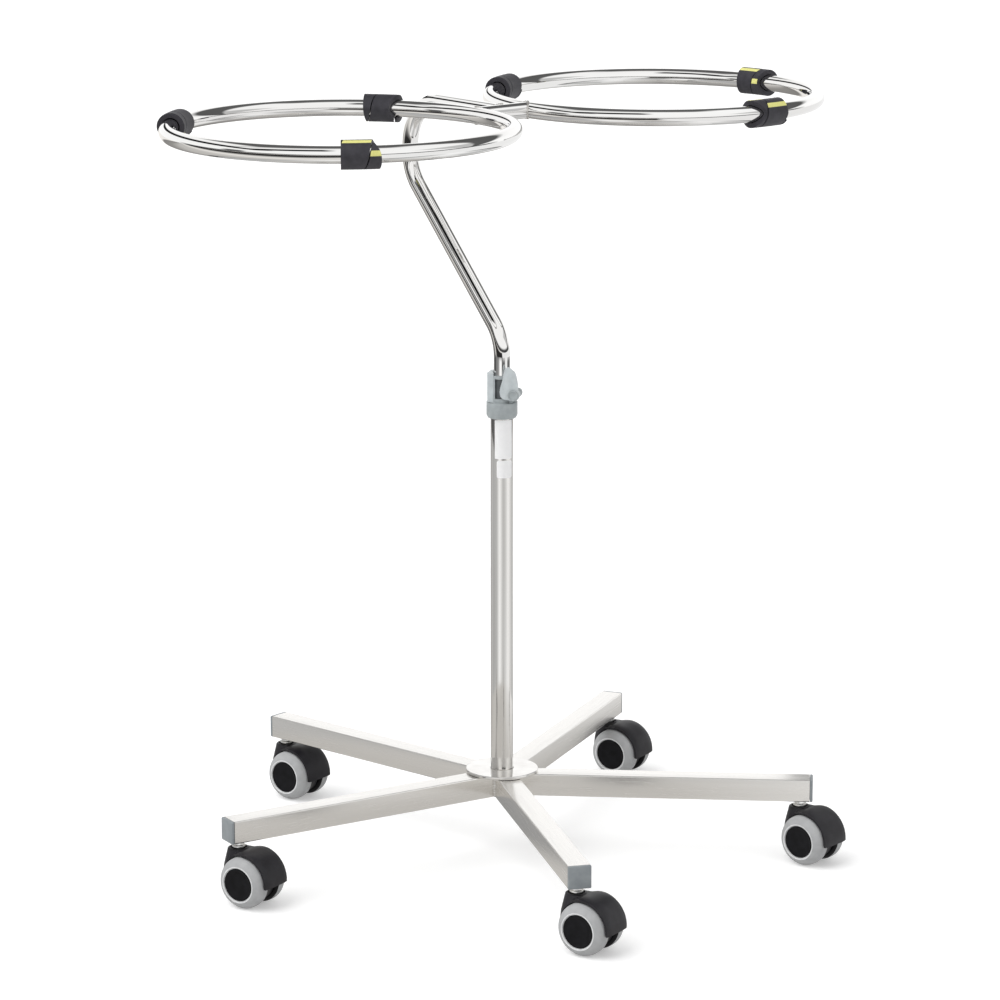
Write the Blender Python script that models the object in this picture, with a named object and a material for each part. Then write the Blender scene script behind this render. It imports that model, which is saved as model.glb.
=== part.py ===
"""Double basin stand: a star base on twin-wheel castors, a telescopic bent mast and two rings.

Metres, +Z up. X runs along the line through the two rings and +Y is the side that the mast
bends out to. The floor is Z = 0, and the middle of the footprint is the origin.
Every piece is built about the column's axis, and one empty then carries the whole stand.
"""

import math

import bmesh
import bpy
from mathutils import Matrix, Vector

# Fits between pieces
SEAT_GAP = 0.0003
RUNNING_GAP = 0.0004

# Castor wheels and axle
WHEEL_RADIUS = 0.025
WHEEL_WIDTH = 0.0174
WHEEL_FACETS = 24
TREAD_CROWN = 0.0018
TREAD_FLAT = 0.008
RIM_RADIUS = 0.0172
DISC_RADIUS = 0.0162
DISC_SINK = 0.0006
AXLE_RADIUS = 0.0025
AXLE_BLIND_WALL = 0.004

# Castor hood and stem
HOOD_CLEARANCE = 0.001
HOOD_WALL = 0.003
HOOD_EDGE_DROP = 0.001
HOOD_ROWS = (-1.0, -0.85, 0.0, 0.85, 1.0)
HOOD_WIDTH = 0.034
HOOD_FRONT_WIDTH = 0.019
HOOD_WEB = 0.012
HOOD_WEB_RADIUS = 0.021
HOOD_WEB_SINK = 0.0005
HOOD_TAIL_ANGLE = math.radians(-4.0)
HOOD_FULL_ANGLE = math.radians(75.0)
HOOD_FRONT_ANGLE = math.radians(128.0)
HOOD_TOP_RISE = 0.004
NOSE_TOP_RADIUS = 0.0097
NOSE_RIM_RADIUS = 0.0104
NOSE_RIM_DROP = 0.0006
NOSE_WIDE_RADIUS = 0.0142
NOSE_WIDE_LEVEL = 0.037
NOSE_FOOT_RADIUS = 0.0155
WHEEL_SIDE_GAP = 0.0006
CASTOR_TRAIL = 0.016
CASTOR_HEADINGS = (-71.5, -76.5, -73.0, -73.0, -80.0)
STEM_RECESS_RADIUS = 0.0080
STEM_RECESS_DEPTH = 0.0012
STEM_COLLAR_RADIUS = 0.0066
STEM_COLLAR_HEIGHT = 0.0034
STEM_SHOW = 0.0065
STEM_SHANK_RADIUS = 0.005
STEM_SHANK_LENGTH = 0.0165
STEM_PIN_RADIUS = 0.004
STEM_PIN_LENGTH = 0.019

# Star base
LEG_COUNT = 5
LEG_FIRST_ANGLE = math.radians(28.03)
LEG_SIZE = 0.022
LEG_WALL = 0.0015
LEG_CORNER = 0.001
LEG_REACH = 0.3055
CAP_THICKNESS = 0.003
CAP_PLUG_LENGTH = 0.026
CAP_EDGE = 0.0009
STEM_INSET = 0.0125
HUB_CORNER_GAP = 0.0002

# Column, its foot and its bush
COLUMN_LENGTH = 0.367
COLUMN_WALL = 0.0015
FLANGE_RADIUS = 0.0355
FLANGE_THICKNESS = 0.003
FLANGE_EDGE = 0.0008
FOOT_PLUG_HEIGHT = 0.018
BOLT_RADIUS = 0.005
BOLT_HEAD_ACROSS = 0.017
BOLT_HEAD_HEIGHT = 0.0064
BOLT_REACH = 0.014
WASHER_RADIUS = 0.0105
WASHER_THICKNESS = 0.0016
BUSH_WALL = 0.0008
BUSH_LENGTH = 0.040
BUSH_LIP = 0.0015

# Mast: a bent tube that slides and turns in the column
MAST_RADIUS = 0.008
MAST_WALL = 0.0012
MAST_BEND_RADIUS = 0.045
MAST_OFFSET = 0.141
MAST_SWEEP_RISE = 0.146
MAST_TOP_RISE = 0.071
MAST_BEND_CLEARANCE = 0.018
BEND_STEPS = 6
GUIDE_LENGTH = 0.011
GUIDE_SPIGOT = 0.018
GUIDE_FOOT_ROOM = 0.018

# Rings, cross tube and rubber sleeves
RING_RADIUS = 0.159
RING_TUBE_RADIUS = 0.008
RING_WALL = 0.0012
RING_STEPS = 48
RING_VENT_RADIUS = 0.003
BRIDGE_LENGTH = 0.049
SLEEVE_LENGTH = 0.034
SLEEVE_WALL = 0.0042
SLEEVE_CLEARANCE = 0.0006
SLEEVE_PITCH = 0.026
SLEEVE_SLIT = 0.0012
SLEEVE_TIP = 0.0015
SLEEVE_STEPS = 16
LEFT_SLEEVES = (38.5, 127.7, 238.9)
RIGHT_SLEEVES = (7.6, 117.7, 270.1)

# Clamp: collar, lever and pin
CLAMP_TURN = math.radians(-54.5)
COLLAR_WALL = 0.0037
COLLAR_GRIP = 0.0115
COLLAR_SHOULDER = 0.0017
COLLAR_CHAMFER = 0.003
NECK_WALL = 0.0022
NECK_HEIGHT = 0.0262
NECK_CLEARANCE = 0.0006
TAB_DEPTH = 0.016
TAB_LEFT = 0.0127
TAB_RIGHT = 0.0063
TAB_RISE = 0.003
TAB_INNER_CLEARANCE = 0.0004
TAB_INNER_DEPTH = 0.004
WINDOW_LEFT = 0.0045
WINDOW_RIGHT = 0.0045
WINDOW_LOW = 0.004
WINDOW_HIGH = 0.0234
SPLIT_WIDTH = 0.0016
EAR_RADIUS = 0.0044
EAR_NEAR = 0.0077
EAR_FAR = 0.0045
EAR_LIFT = 0.0092
PIN_RADIUS = 0.002
PIN_WALL = 0.0043
PIN_HEAD_RADIUS = 0.0052
PIN_HEAD_HEIGHT = 0.0018
NUT_ACROSS = 0.0065
NUT_HEIGHT = 0.003
LEVER_THICKNESS = 0.0027
LEVER_HUB = 0.0056
LEVER_HUB_ARC = (math.radians(-95.0), math.radians(40.0))
LEVER_OUTER_EDGE = ((0.0041, 0.009), (0.0036, 0.0134), (0.0026, 0.0182), (0.001, 0.0226), (-0.0021, 0.0251))
LEVER_TIP = ((-0.0044, 0.0267), (-0.006, 0.027), (-0.0076, 0.0261))
LEVER_CAM_EDGE = ((-0.009, 0.0234), (-0.0102, 0.0189), (-0.0108, 0.0144), (-0.013, 0.0072), (-0.0137, 0.0027),
                  (-0.013, -0.0017), (-0.0105, -0.0042))
SCREW_RADIUS = 0.002

# Sides of the round pieces
FINE_SIDES = 24
TUBE_SIDES = 12
SMALL_SIDES = 12
RING_SIDES = 10
BORE_SIDES = 6
HEX_SIDES = 6
ARC_STEPS = 8
HOOD_STEPS = 10
SHARP_ANGLE = math.radians(35.0)

# Levels and radii that follow from the sizes above
AXLE_HEIGHT = WHEEL_RADIUS
POCKET_RADIUS = WHEEL_RADIUS + HOOD_CLEARANCE
HOOD_RADIUS = POCKET_RADIUS + HOOD_WALL
HOOD_TOP = 2.0 * WHEEL_RADIUS + HOOD_TOP_RISE
LEG_UNDERSIDE = HOOD_TOP + STEM_SHOW
LEG_MIDDLE = LEG_UNDERSIDE + LEG_SIZE / 2.0
LEG_TOP = LEG_UNDERSIDE + LEG_SIZE
LEG_TUBE_END = LEG_REACH - CAP_THICKNESS
STEM_REACH = LEG_REACH - STEM_INSET
HUB_FLAT = (LEG_SIZE / 2.0 + HUB_CORNER_GAP) / math.tan(math.pi / LEG_COUNT)
HUB_SEAT = LEG_UNDERSIDE + BOLT_HEAD_HEIGHT + WASHER_THICKNESS + 3.0 * SEAT_GAP
COLUMN_BORE = MAST_RADIUS + RUNNING_GAP + BUSH_WALL + SEAT_GAP
COLUMN_RADIUS = COLUMN_BORE + COLUMN_WALL
COLUMN_FOOT = LEG_TOP + SEAT_GAP
COLUMN_TOP = COLUMN_FOOT + COLUMN_LENGTH
PLUG_TOP = COLUMN_FOOT + FOOT_PLUG_HEIGHT
BUSH_TOP = COLUMN_TOP + SEAT_GAP + BUSH_LIP
COLLAR_SEAT = BUSH_TOP + SEAT_GAP
COLLAR_FOOT = COLUMN_TOP - COLLAR_GRIP
NECK_FOOT = COLLAR_SEAT + COLLAR_SHOULDER
NECK_TOP = NECK_FOOT + NECK_HEIGHT
NECK_BORE = MAST_RADIUS + NECK_CLEARANCE
NECK_RADIUS = NECK_BORE + NECK_WALL
COLLAR_RADIUS = COLUMN_RADIUS + SEAT_GAP + COLLAR_WALL
PIN_REACH = NECK_BORE + PIN_WALL + PIN_RADIUS
PIN_HEIGHT = NECK_FOOT + EAR_LIFT
LEVER_INNER = NECK_RADIUS + SEAT_GAP
LEVER_OUTER = LEVER_INNER + LEVER_THICKNESS
GUIDE_FOOT = PLUG_TOP + GUIDE_FOOT_ROOM
MAST_FOOT = GUIDE_FOOT + GUIDE_LENGTH + SEAT_GAP
MAST_BORE = MAST_RADIUS - MAST_WALL
SWEEP_ANGLE = math.atan2(MAST_OFFSET, MAST_SWEEP_RISE)
SWEEP_TANGENT = MAST_BEND_RADIUS * math.tan(SWEEP_ANGLE / 2.0)
MAST_CORNER = NECK_TOP + MAST_BEND_CLEARANCE + SWEEP_TANGENT
RING_LEVEL = MAST_CORNER + MAST_SWEEP_RISE + MAST_TOP_RISE
RING_MIDDLE = BRIDGE_LENGTH / 2.0 + RING_TUBE_RADIUS + RING_RADIUS
SLEEVE_BORE = RING_TUBE_RADIUS / math.cos(math.pi / RING_SIDES) + SLEEVE_CLEARANCE


# Scene and materials

def clear_scene():
    for old in list(bpy.data.objects):
        bpy.data.objects.remove(old)


def finish(name, colour, roughness, metallic):
    """One Principled material for a kind of piece."""
    material = bpy.data.materials.new(name)
    material.use_nodes = True
    shader = material.node_tree.nodes["Principled BSDF"]
    shader.inputs["Base Color"].default_value = (*colour, 1.0)
    shader.inputs["Roughness"].default_value = roughness
    shader.inputs["Metallic"].default_value = metallic
    return material


def empty(name, place, turn=0.0, parent=None):
    """A carrier for pieces that move or are placed together."""
    carrier = bpy.data.objects.new(name, None)
    bpy.context.scene.collection.objects.link(carrier)
    carrier.location = place
    carrier.rotation_euler = (0.0, 0.0, turn)
    carrier.parent = parent
    return carrier


def piece(name, mesh, material, place=(0.0, 0.0, 0.0), turn=(0.0, 0.0, 0.0), parent=None):
    """One sub-part of the stand, shaded smooth with its corners kept sharp."""
    if not mesh.materials:
        mesh.materials.append(material)
        mesh.shade_smooth()
        mesh.set_sharp_from_angle(angle=SHARP_ANGLE)
    part = bpy.data.objects.new(name, mesh)
    bpy.context.scene.collection.objects.link(part)
    part.location = place
    part.rotation_euler = turn
    part.parent = parent
    return part


# Mesh makers

def mesh_from(bm, name):
    mesh = bpy.data.meshes.new(name)
    bm.to_mesh(mesh)
    bm.free()
    return mesh


def loft(bm, loops, closed):
    """Faces between neighbouring loops of points; a loop of one point is a pole."""
    pairs = list(zip(loops, loops[1:]))
    if closed:
        pairs.append((loops[-1], loops[0]))
    for low, high in pairs:
        sides = max(len(low), len(high))
        for i in range(sides):
            j = (i + 1) % sides
            if len(low) == 1:
                bm.faces.new((low[0], high[j], high[i]))
            elif len(high) == 1:
                bm.faces.new((low[i], low[j], high[0]))
            else:
                bm.faces.new((low[i], low[j], high[j], high[i]))


def turned(name, profile, sides):
    """Turn (radius, height) points about Z. The flats, not the corners, lie at the radius."""
    bm = bmesh.new()
    grow = 1.0 / math.cos(math.pi / sides)
    step = 2.0 * math.pi / sides
    loops = []
    for radius, height in profile:
        if radius == 0.0:
            loops.append([bm.verts.new((0.0, 0.0, height))])
            continue
        corners = [step * (i + 0.5) for i in range(sides)]
        reach = radius * grow
        loops.append([bm.verts.new((reach * math.cos(a), reach * math.sin(a), height)) for a in corners])
    loft(bm, loops, closed=profile[0][0] > 0.0)
    bmesh.ops.recalc_face_normals(bm, faces=bm.faces)
    return mesh_from(bm, name)


def pipe(name, outer, inner, low, high, sides):
    """A straight open tube along Z."""
    return turned(name, [(inner, low), (inner, high), (outer, high), (outer, low)], sides)


def rod(name, radius, low, high, sides):
    """A straight solid rod along Z."""
    return turned(name, [(0.0, low), (radius, low), (radius, high), (0.0, high)], sides)


def extruded(name, outline, low, high):
    """An XZ outline pushed along Y from low to high."""
    bm = bmesh.new()
    front = [bm.verts.new((x, low, z)) for x, z in outline]
    back = [bm.verts.new((x, high, z)) for x, z in outline]
    bm.faces.new(front)
    bm.faces.new(back)
    loft(bm, [front, back], closed=False)
    bmesh.ops.recalc_face_normals(bm, faces=bm.faces)
    return mesh_from(bm, name)


def block(name, low, high):
    """A plain box between two corners."""
    bm = bmesh.new()
    bmesh.ops.create_cube(bm, size=1.0)
    size = Vector(high) - Vector(low)
    middle = (Vector(high) + Vector(low)) / 2.0
    bmesh.ops.transform(bm, matrix=Matrix.Translation(middle) @ Matrix.Diagonal((*size, 1.0)), verts=bm.verts)
    return mesh_from(bm, name)


def circle_points(radius, start, end, steps, middle=(0.0, 0.0)):
    """Points along an arc in a plane, both ends included."""
    points = []
    for i in range(steps + 1):
        angle = start + (end - start) * i / steps
        points.append((middle[0] + radius * math.cos(angle), middle[1] + radius * math.sin(angle)))
    return points


def tube_loop(bm, point, across, upward, radius, sides):
    """One polygon of a bent tube, its flats at the radius."""
    reach = radius / math.cos(math.pi / sides)
    loop = []
    for i in range(sides):
        angle = 2.0 * math.pi * (i + 0.5) / sides
        loop.append(bm.verts.new(point + across * (reach * math.cos(angle)) + upward * (reach * math.sin(angle))))
    return loop


def shaped(mesh, joined=(), cut=(), places=None):
    """Join meshes to a mesh and cut others from it, and return the result as one mesh."""
    body = bpy.data.objects.new("work", mesh)
    bpy.context.scene.collection.objects.link(body)
    tools = []
    for operation, group in (("UNION", joined), ("DIFFERENCE", cut)):
        for tool_mesh in group:
            tool = bpy.data.objects.new("tool", tool_mesh)
            bpy.context.scene.collection.objects.link(tool)
            tool.hide_render = True
            tool.display_type = "WIRE"
            if places and tool_mesh in places:
                tool.matrix_world = places[tool_mesh]
            step = body.modifiers.new(operation, "BOOLEAN")
            step.operation = operation
            step.solver = "EXACT"
            step.object = tool
            tools.append(tool)
    bpy.context.view_layer.update()
    graph = bpy.context.evaluated_depsgraph_get()
    result = bpy.data.meshes.new_from_object(body.evaluated_get(graph))
    result.name = mesh.name
    for used in [body] + tools:
        bpy.data.objects.remove(used)
    return result


def along_y(low):
    """Turns a mesh made along +Z to run along +Y, starting at low."""
    return Matrix.Translation((0.0, low, 0.0)) @ Matrix.Rotation(math.radians(-90.0), 4, "X")


# Castors

def wheel_mesh():
    """Half of a twin wheel: its crowned tread, sunk disc and blind axle bore, along +Z outwards."""
    bore = AXLE_RADIUS + RUNNING_GAP
    outer = WHEEL_WIDTH
    shoulder = WHEEL_RADIUS - TREAD_CROWN
    profile = [
        (0.0, outer - AXLE_BLIND_WALL),
        (bore, outer - AXLE_BLIND_WALL),
        (bore, 0.0),
        (shoulder, 0.0),
        (WHEEL_RADIUS, TREAD_CROWN),
        (WHEEL_RADIUS, TREAD_CROWN + TREAD_FLAT),
        (shoulder, outer - (outer - TREAD_FLAT - TREAD_CROWN) / 2.0),
        (RIM_RADIUS, outer),
        (DISC_RADIUS, outer - DISC_SINK),
        (0.0, outer - DISC_SINK),
    ]
    return turned("castor_wheel", profile, WHEEL_FACETS)


def hood_section(bm, angle):
    """One slice across the hood's band, at an angle about the axle: five outer points and two inner."""
    narrowed = max(0.0, (angle - HOOD_FULL_ANGLE) / (HOOD_FRONT_ANGLE - HOOD_FULL_ANGLE)) ** 2
    half = (HOOD_WIDTH + (HOOD_FRONT_WIDTH - HOOD_WIDTH) * narrowed) / 2.0
    rows = [(HOOD_RADIUS - HOOD_EDGE_DROP * row ** 4, row * half) for row in HOOD_ROWS]
    rows += [(WHEEL_RADIUS, half), (WHEEL_RADIUS, -half)]
    out = Vector((math.cos(angle), 0.0, math.sin(angle)))
    axle = Vector((CASTOR_TRAIL, 0.0, AXLE_HEIGHT))
    return [bm.verts.new(axle + out * radius + Vector((0.0, across, 0.0))) for radius, across in rows]


def hood_band():
    """The hood's round band over the wheels, narrowed toward the stem."""
    bm = bmesh.new()
    sweep = HOOD_FRONT_ANGLE - HOOD_TAIL_ANGLE
    loops = [hood_section(bm, HOOD_TAIL_ANGLE + sweep * i / HOOD_STEPS) for i in range(HOOD_STEPS + 1)]
    bm.faces.new(loops[0])
    bm.faces.new(loops[-1])
    loft(bm, loops, closed=False)
    bmesh.ops.recalc_face_normals(bm, faces=bm.faces)
    return mesh_from(bm, "castor_hood")


def hood_mesh():
    """Hood: a band, a cone-shaped nose about the stem and a web between the wheels, less its hollows."""
    middle = (CASTOR_TRAIL, AXLE_HEIGHT)
    nose = turned("nose", [
        (0.0, AXLE_HEIGHT), (NOSE_FOOT_RADIUS, AXLE_HEIGHT), (NOSE_WIDE_RADIUS, NOSE_WIDE_LEVEL),
        (NOSE_RIM_RADIUS, HOOD_TOP - NOSE_RIM_DROP), (NOSE_TOP_RADIUS, HOOD_TOP), (0.0, HOOD_TOP)], FINE_SIDES)
    web_outline = circle_points(WHEEL_RADIUS + HOOD_WEB_SINK, HOOD_TAIL_ANGLE, HOOD_FRONT_ANGLE, ARC_STEPS, middle)
    web_outline += circle_points(HOOD_WEB_RADIUS, HOOD_FRONT_ANGLE, 2.0 * math.pi + HOOD_TAIL_ANGLE, ARC_STEPS, middle)
    web = extruded("web", web_outline, -HOOD_WEB / 2.0, HOOD_WEB / 2.0)
    reach = HOOD_WIDTH
    pocket = rod("pocket", POCKET_RADIUS, HOOD_WEB / 2.0, reach, FINE_SIDES)
    far_pocket = rod("far_pocket", POCKET_RADIUS, -reach, -HOOD_WEB / 2.0, FINE_SIDES)
    axle_hole = rod("axle_hole", AXLE_RADIUS + SEAT_GAP, -reach, reach, SMALL_SIDES)
    bore_foot = HOOD_TOP - STEM_PIN_LENGTH - 2.0 * SEAT_GAP
    stem_bore = rod("stem_bore", STEM_PIN_RADIUS + RUNNING_GAP, bore_foot, HOOD_TOP + reach, SMALL_SIDES)
    recess = rod("recess", STEM_RECESS_RADIUS, HOOD_TOP - STEM_RECESS_DEPTH, HOOD_TOP + reach, FINE_SIDES)
    on_axle = Matrix.Translation((CASTOR_TRAIL, 0.0, AXLE_HEIGHT)) @ along_y(0.0)
    places = {tool: on_axle for tool in (pocket, far_pocket, axle_hole)}
    cut = (pocket, far_pocket, axle_hole, recess, stem_bore)
    return shaped(hood_band(), joined=(nose, web), cut=cut, places=places)


def stem_mesh():
    """Steel stem: a pin down into the hood, the bright collar and the shank up into the leg."""
    collar_foot = HOOD_TOP - STEM_RECESS_DEPTH + SEAT_GAP
    collar_top = collar_foot + STEM_COLLAR_HEIGHT
    profile = [
        (0.0, HOOD_TOP - STEM_PIN_LENGTH),
        (STEM_PIN_RADIUS, HOOD_TOP - STEM_PIN_LENGTH),
        (STEM_PIN_RADIUS, collar_foot),
        (STEM_COLLAR_RADIUS, collar_foot),
        (STEM_COLLAR_RADIUS, collar_top),
        (STEM_SHANK_RADIUS, collar_top),
        (STEM_SHANK_RADIUS, LEG_UNDERSIDE + STEM_SHANK_LENGTH),
        (0.0, LEG_UNDERSIDE + STEM_SHANK_LENGTH),
    ]
    return turned("castor_stem", profile, SMALL_SIDES)


def build_castors(stand, steel, black, tread):
    axle_half = HOOD_WEB / 2.0 + WHEEL_SIDE_GAP + WHEEL_WIDTH - AXLE_BLIND_WALL - SEAT_GAP
    wheel = wheel_mesh()
    hood = hood_mesh()
    stem = stem_mesh()
    axle = rod("castor_axle", AXLE_RADIUS, -axle_half, axle_half, SMALL_SIDES)
    side = HOOD_WEB / 2.0 + WHEEL_SIDE_GAP
    for number, heading in enumerate(CASTOR_HEADINGS, start=1):
        angle = LEG_FIRST_ANGLE + 2.0 * math.pi * (number - 1) / LEG_COUNT
        foot = (STEM_REACH * math.cos(angle), STEM_REACH * math.sin(angle), 0.0)
        swivel = empty(f"swivel_{number}", foot, math.radians(heading), stand)
        centre = (CASTOR_TRAIL, 0.0, AXLE_HEIGHT)
        piece(f"castor_stem_{number}", stem, steel, parent=swivel)
        piece(f"castor_hood_{number}", hood, black, parent=swivel)
        piece(f"castor_axle_{number}", axle, steel, centre, (math.radians(-90.0), 0.0, 0.0), swivel)
        for hand, sign in (("left", 1.0), ("right", -1.0)):
            place = (CASTOR_TRAIL, sign * side, AXLE_HEIGHT)
            turn = (math.radians(-90.0 * sign), 0.0, 0.0)
            piece(f"castor_wheel_{hand}_{number}", wheel, tread, place, turn, swivel)


# Star base

def square_loop(half, corner):
    """A square with small cut corners, as (across, up) points."""
    if corner == 0.0:
        return [(-half, -half), (half, -half), (half, half), (-half, half)]
    short = half - corner
    return [(-short, -half), (short, -half), (half, -short), (half, short),
            (short, half), (-short, half), (-half, short), (-half, -short)]


def prism(name, half, corner, near, far):
    """A solid square bar along +X."""
    bm = bmesh.new()
    loops = []
    for x in (near, far):
        loops.append([bm.verts.new((x, across, up)) for across, up in square_loop(half, corner)])
    bm.faces.new(loops[0])
    bm.faces.new(loops[1])
    loft(bm, loops, closed=False)
    bmesh.ops.recalc_face_normals(bm, faces=bm.faces)
    return mesh_from(bm, name)


def leg_mesh():
    """Square tube along +X about the leg's middle line, with the stem's hole in its underside."""
    half = LEG_SIZE / 2.0
    near = HUB_FLAT + SEAT_GAP
    body = prism("leg", half, LEG_CORNER, near, LEG_TUBE_END)
    bore = prism("leg_bore", half - LEG_WALL, 0.0, near - LEG_SIZE, LEG_TUBE_END + LEG_SIZE)
    hole = rod("stem_hole", STEM_SHANK_RADIUS + SEAT_GAP, -LEG_SIZE, 0.0, SMALL_SIDES)
    return shaped(body, cut=(bore, hole), places={hole: Matrix.Translation((STEM_REACH, 0.0, 0.0))})


def cap_mesh():
    """End cap: a plate as large as the leg, and a plug inside it that takes the castor's stem."""
    half = LEG_SIZE / 2.0
    plug_half = half - LEG_WALL - SEAT_GAP
    plate_near = LEG_TUBE_END + SEAT_GAP
    bm = bmesh.new()
    rows = [
        (plate_near, half, LEG_CORNER),
        (LEG_REACH - CAP_EDGE, half, LEG_CORNER),
        (LEG_REACH, half - CAP_EDGE, LEG_CORNER),
    ]
    loops = []
    for x, size, corner in rows:
        loops.append([bm.verts.new((x, across, up)) for across, up in square_loop(size, corner)])
    bm.faces.new(loops[0])
    bm.faces.new(loops[-1])
    loft(bm, loops, closed=False)
    bmesh.ops.recalc_face_normals(bm, faces=bm.faces)
    plate = mesh_from(bm, "leg_cap")
    plug = prism("plug", plug_half, 0.0, LEG_TUBE_END - CAP_PLUG_LENGTH, plate_near + CAP_THICKNESS / 2.0)
    socket_top = STEM_SHANK_LENGTH - half + SEAT_GAP
    socket = rod("socket", STEM_SHANK_RADIUS + SEAT_GAP, -LEG_SIZE, socket_top, SMALL_SIDES)
    places = {socket: Matrix.Translation((STEM_REACH, 0.0, 0.0))}
    return shaped(plate, joined=(plug,), cut=(socket,), places=places)


def build_base(stand, steel, grey):
    bore = BOLT_RADIUS + SEAT_GAP
    well = WASHER_RADIUS / math.cos(math.pi / FINE_SIDES) + SEAT_GAP
    hub = turned("base_hub", [
        (bore, HUB_SEAT), (bore, LEG_TOP), (HUB_FLAT, LEG_TOP), (HUB_FLAT, LEG_UNDERSIDE),
        (well, LEG_UNDERSIDE), (well, HUB_SEAT)], LEG_COUNT)
    # A turned polygon has a flat at angle zero, so each leg butts against one of the hub's flats
    piece("base_hub", hub, steel, turn=(0.0, 0.0, LEG_FIRST_ANGLE), parent=stand)
    leg = leg_mesh()
    cap = cap_mesh()
    for number in range(1, LEG_COUNT + 1):
        turn = (0.0, 0.0, LEG_FIRST_ANGLE + 2.0 * math.pi * (number - 1) / LEG_COUNT)
        place = (0.0, 0.0, LEG_MIDDLE)
        piece(f"leg_{number}", leg, steel, place, turn, stand)
        piece(f"leg_cap_{number}", cap, grey, place, turn, stand)


# Column

def build_column(stand, steel, zinc, nylon):
    flange_bore = COLUMN_RADIUS + SEAT_GAP
    flange_foot = LEG_TOP + SEAT_GAP
    flange_top = flange_foot + FLANGE_THICKNESS
    flange = turned("column_flange", [
        (flange_bore, flange_foot), (flange_bore, flange_top),
        (FLANGE_RADIUS - FLANGE_EDGE, flange_top), (FLANGE_RADIUS, flange_top - FLANGE_EDGE),
        (FLANGE_RADIUS, flange_foot)], FINE_SIDES)
    piece("column_flange", flange, steel, parent=stand)
    tube = pipe("column_tube", COLUMN_RADIUS, COLUMN_BORE, COLUMN_FOOT, COLUMN_TOP, FINE_SIDES)
    piece("column_tube", tube, steel, parent=stand)
    thread = BOLT_RADIUS + SEAT_GAP
    plug = pipe("column_foot_plug", COLUMN_BORE - SEAT_GAP, thread, COLUMN_FOOT, PLUG_TOP, FINE_SIDES)
    piece("column_foot_plug", plug, zinc, parent=stand)
    washer_top = HUB_SEAT - SEAT_GAP
    washer_foot = washer_top - WASHER_THICKNESS
    washer = pipe("bolt_washer", WASHER_RADIUS, thread, washer_foot, washer_top, FINE_SIDES)
    piece("bolt_washer", washer, zinc, parent=stand)
    head_top = washer_foot - SEAT_GAP
    head = rod("column_bolt", BOLT_HEAD_ACROSS / 2.0, head_top - BOLT_HEAD_HEIGHT, head_top, HEX_SIDES)
    shank = rod("shank", BOLT_RADIUS, head_top - BOLT_HEAD_HEIGHT / 2.0, COLUMN_FOOT + BOLT_REACH, SMALL_SIDES)
    piece("column_bolt", shaped(head, joined=(shank,)), zinc, parent=stand)
    bush_bore = MAST_RADIUS + RUNNING_GAP
    lip_foot = COLUMN_TOP + SEAT_GAP
    bush = turned("column_bush", [
        (bush_bore, COLUMN_TOP - BUSH_LENGTH), (bush_bore, BUSH_TOP), (COLUMN_RADIUS, BUSH_TOP),
        (COLUMN_RADIUS, lip_foot), (COLUMN_BORE - SEAT_GAP, lip_foot),
        (COLUMN_BORE - SEAT_GAP, COLUMN_TOP - BUSH_LENGTH)], FINE_SIDES)
    piece("column_bush", bush, nylon, parent=stand)


# Clamp, in its own frame: the lever is at +X, and -Y is the side that the pin's head is on

def tab_mesh():
    """Upright tab on the neck's far side from the lever, hollowed to stay clear of the mast's way."""
    side = TAB_DEPTH / 2.0
    inner = NECK_BORE + TAB_INNER_CLEARANCE
    outline = [(-TAB_LEFT, -side), (-TAB_RIGHT, -side), (-inner, -TAB_INNER_DEPTH / 2.0),
               (-inner, TAB_INNER_DEPTH / 2.0), (-TAB_RIGHT, side), (-TAB_LEFT, side)]
    tab = extruded("tab", outline, NECK_FOOT - COLLAR_SHOULDER / 2.0, NECK_TOP + TAB_RISE)
    tab.transform(Matrix.Rotation(math.radians(90.0), 4, "X"))
    return tab


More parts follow.
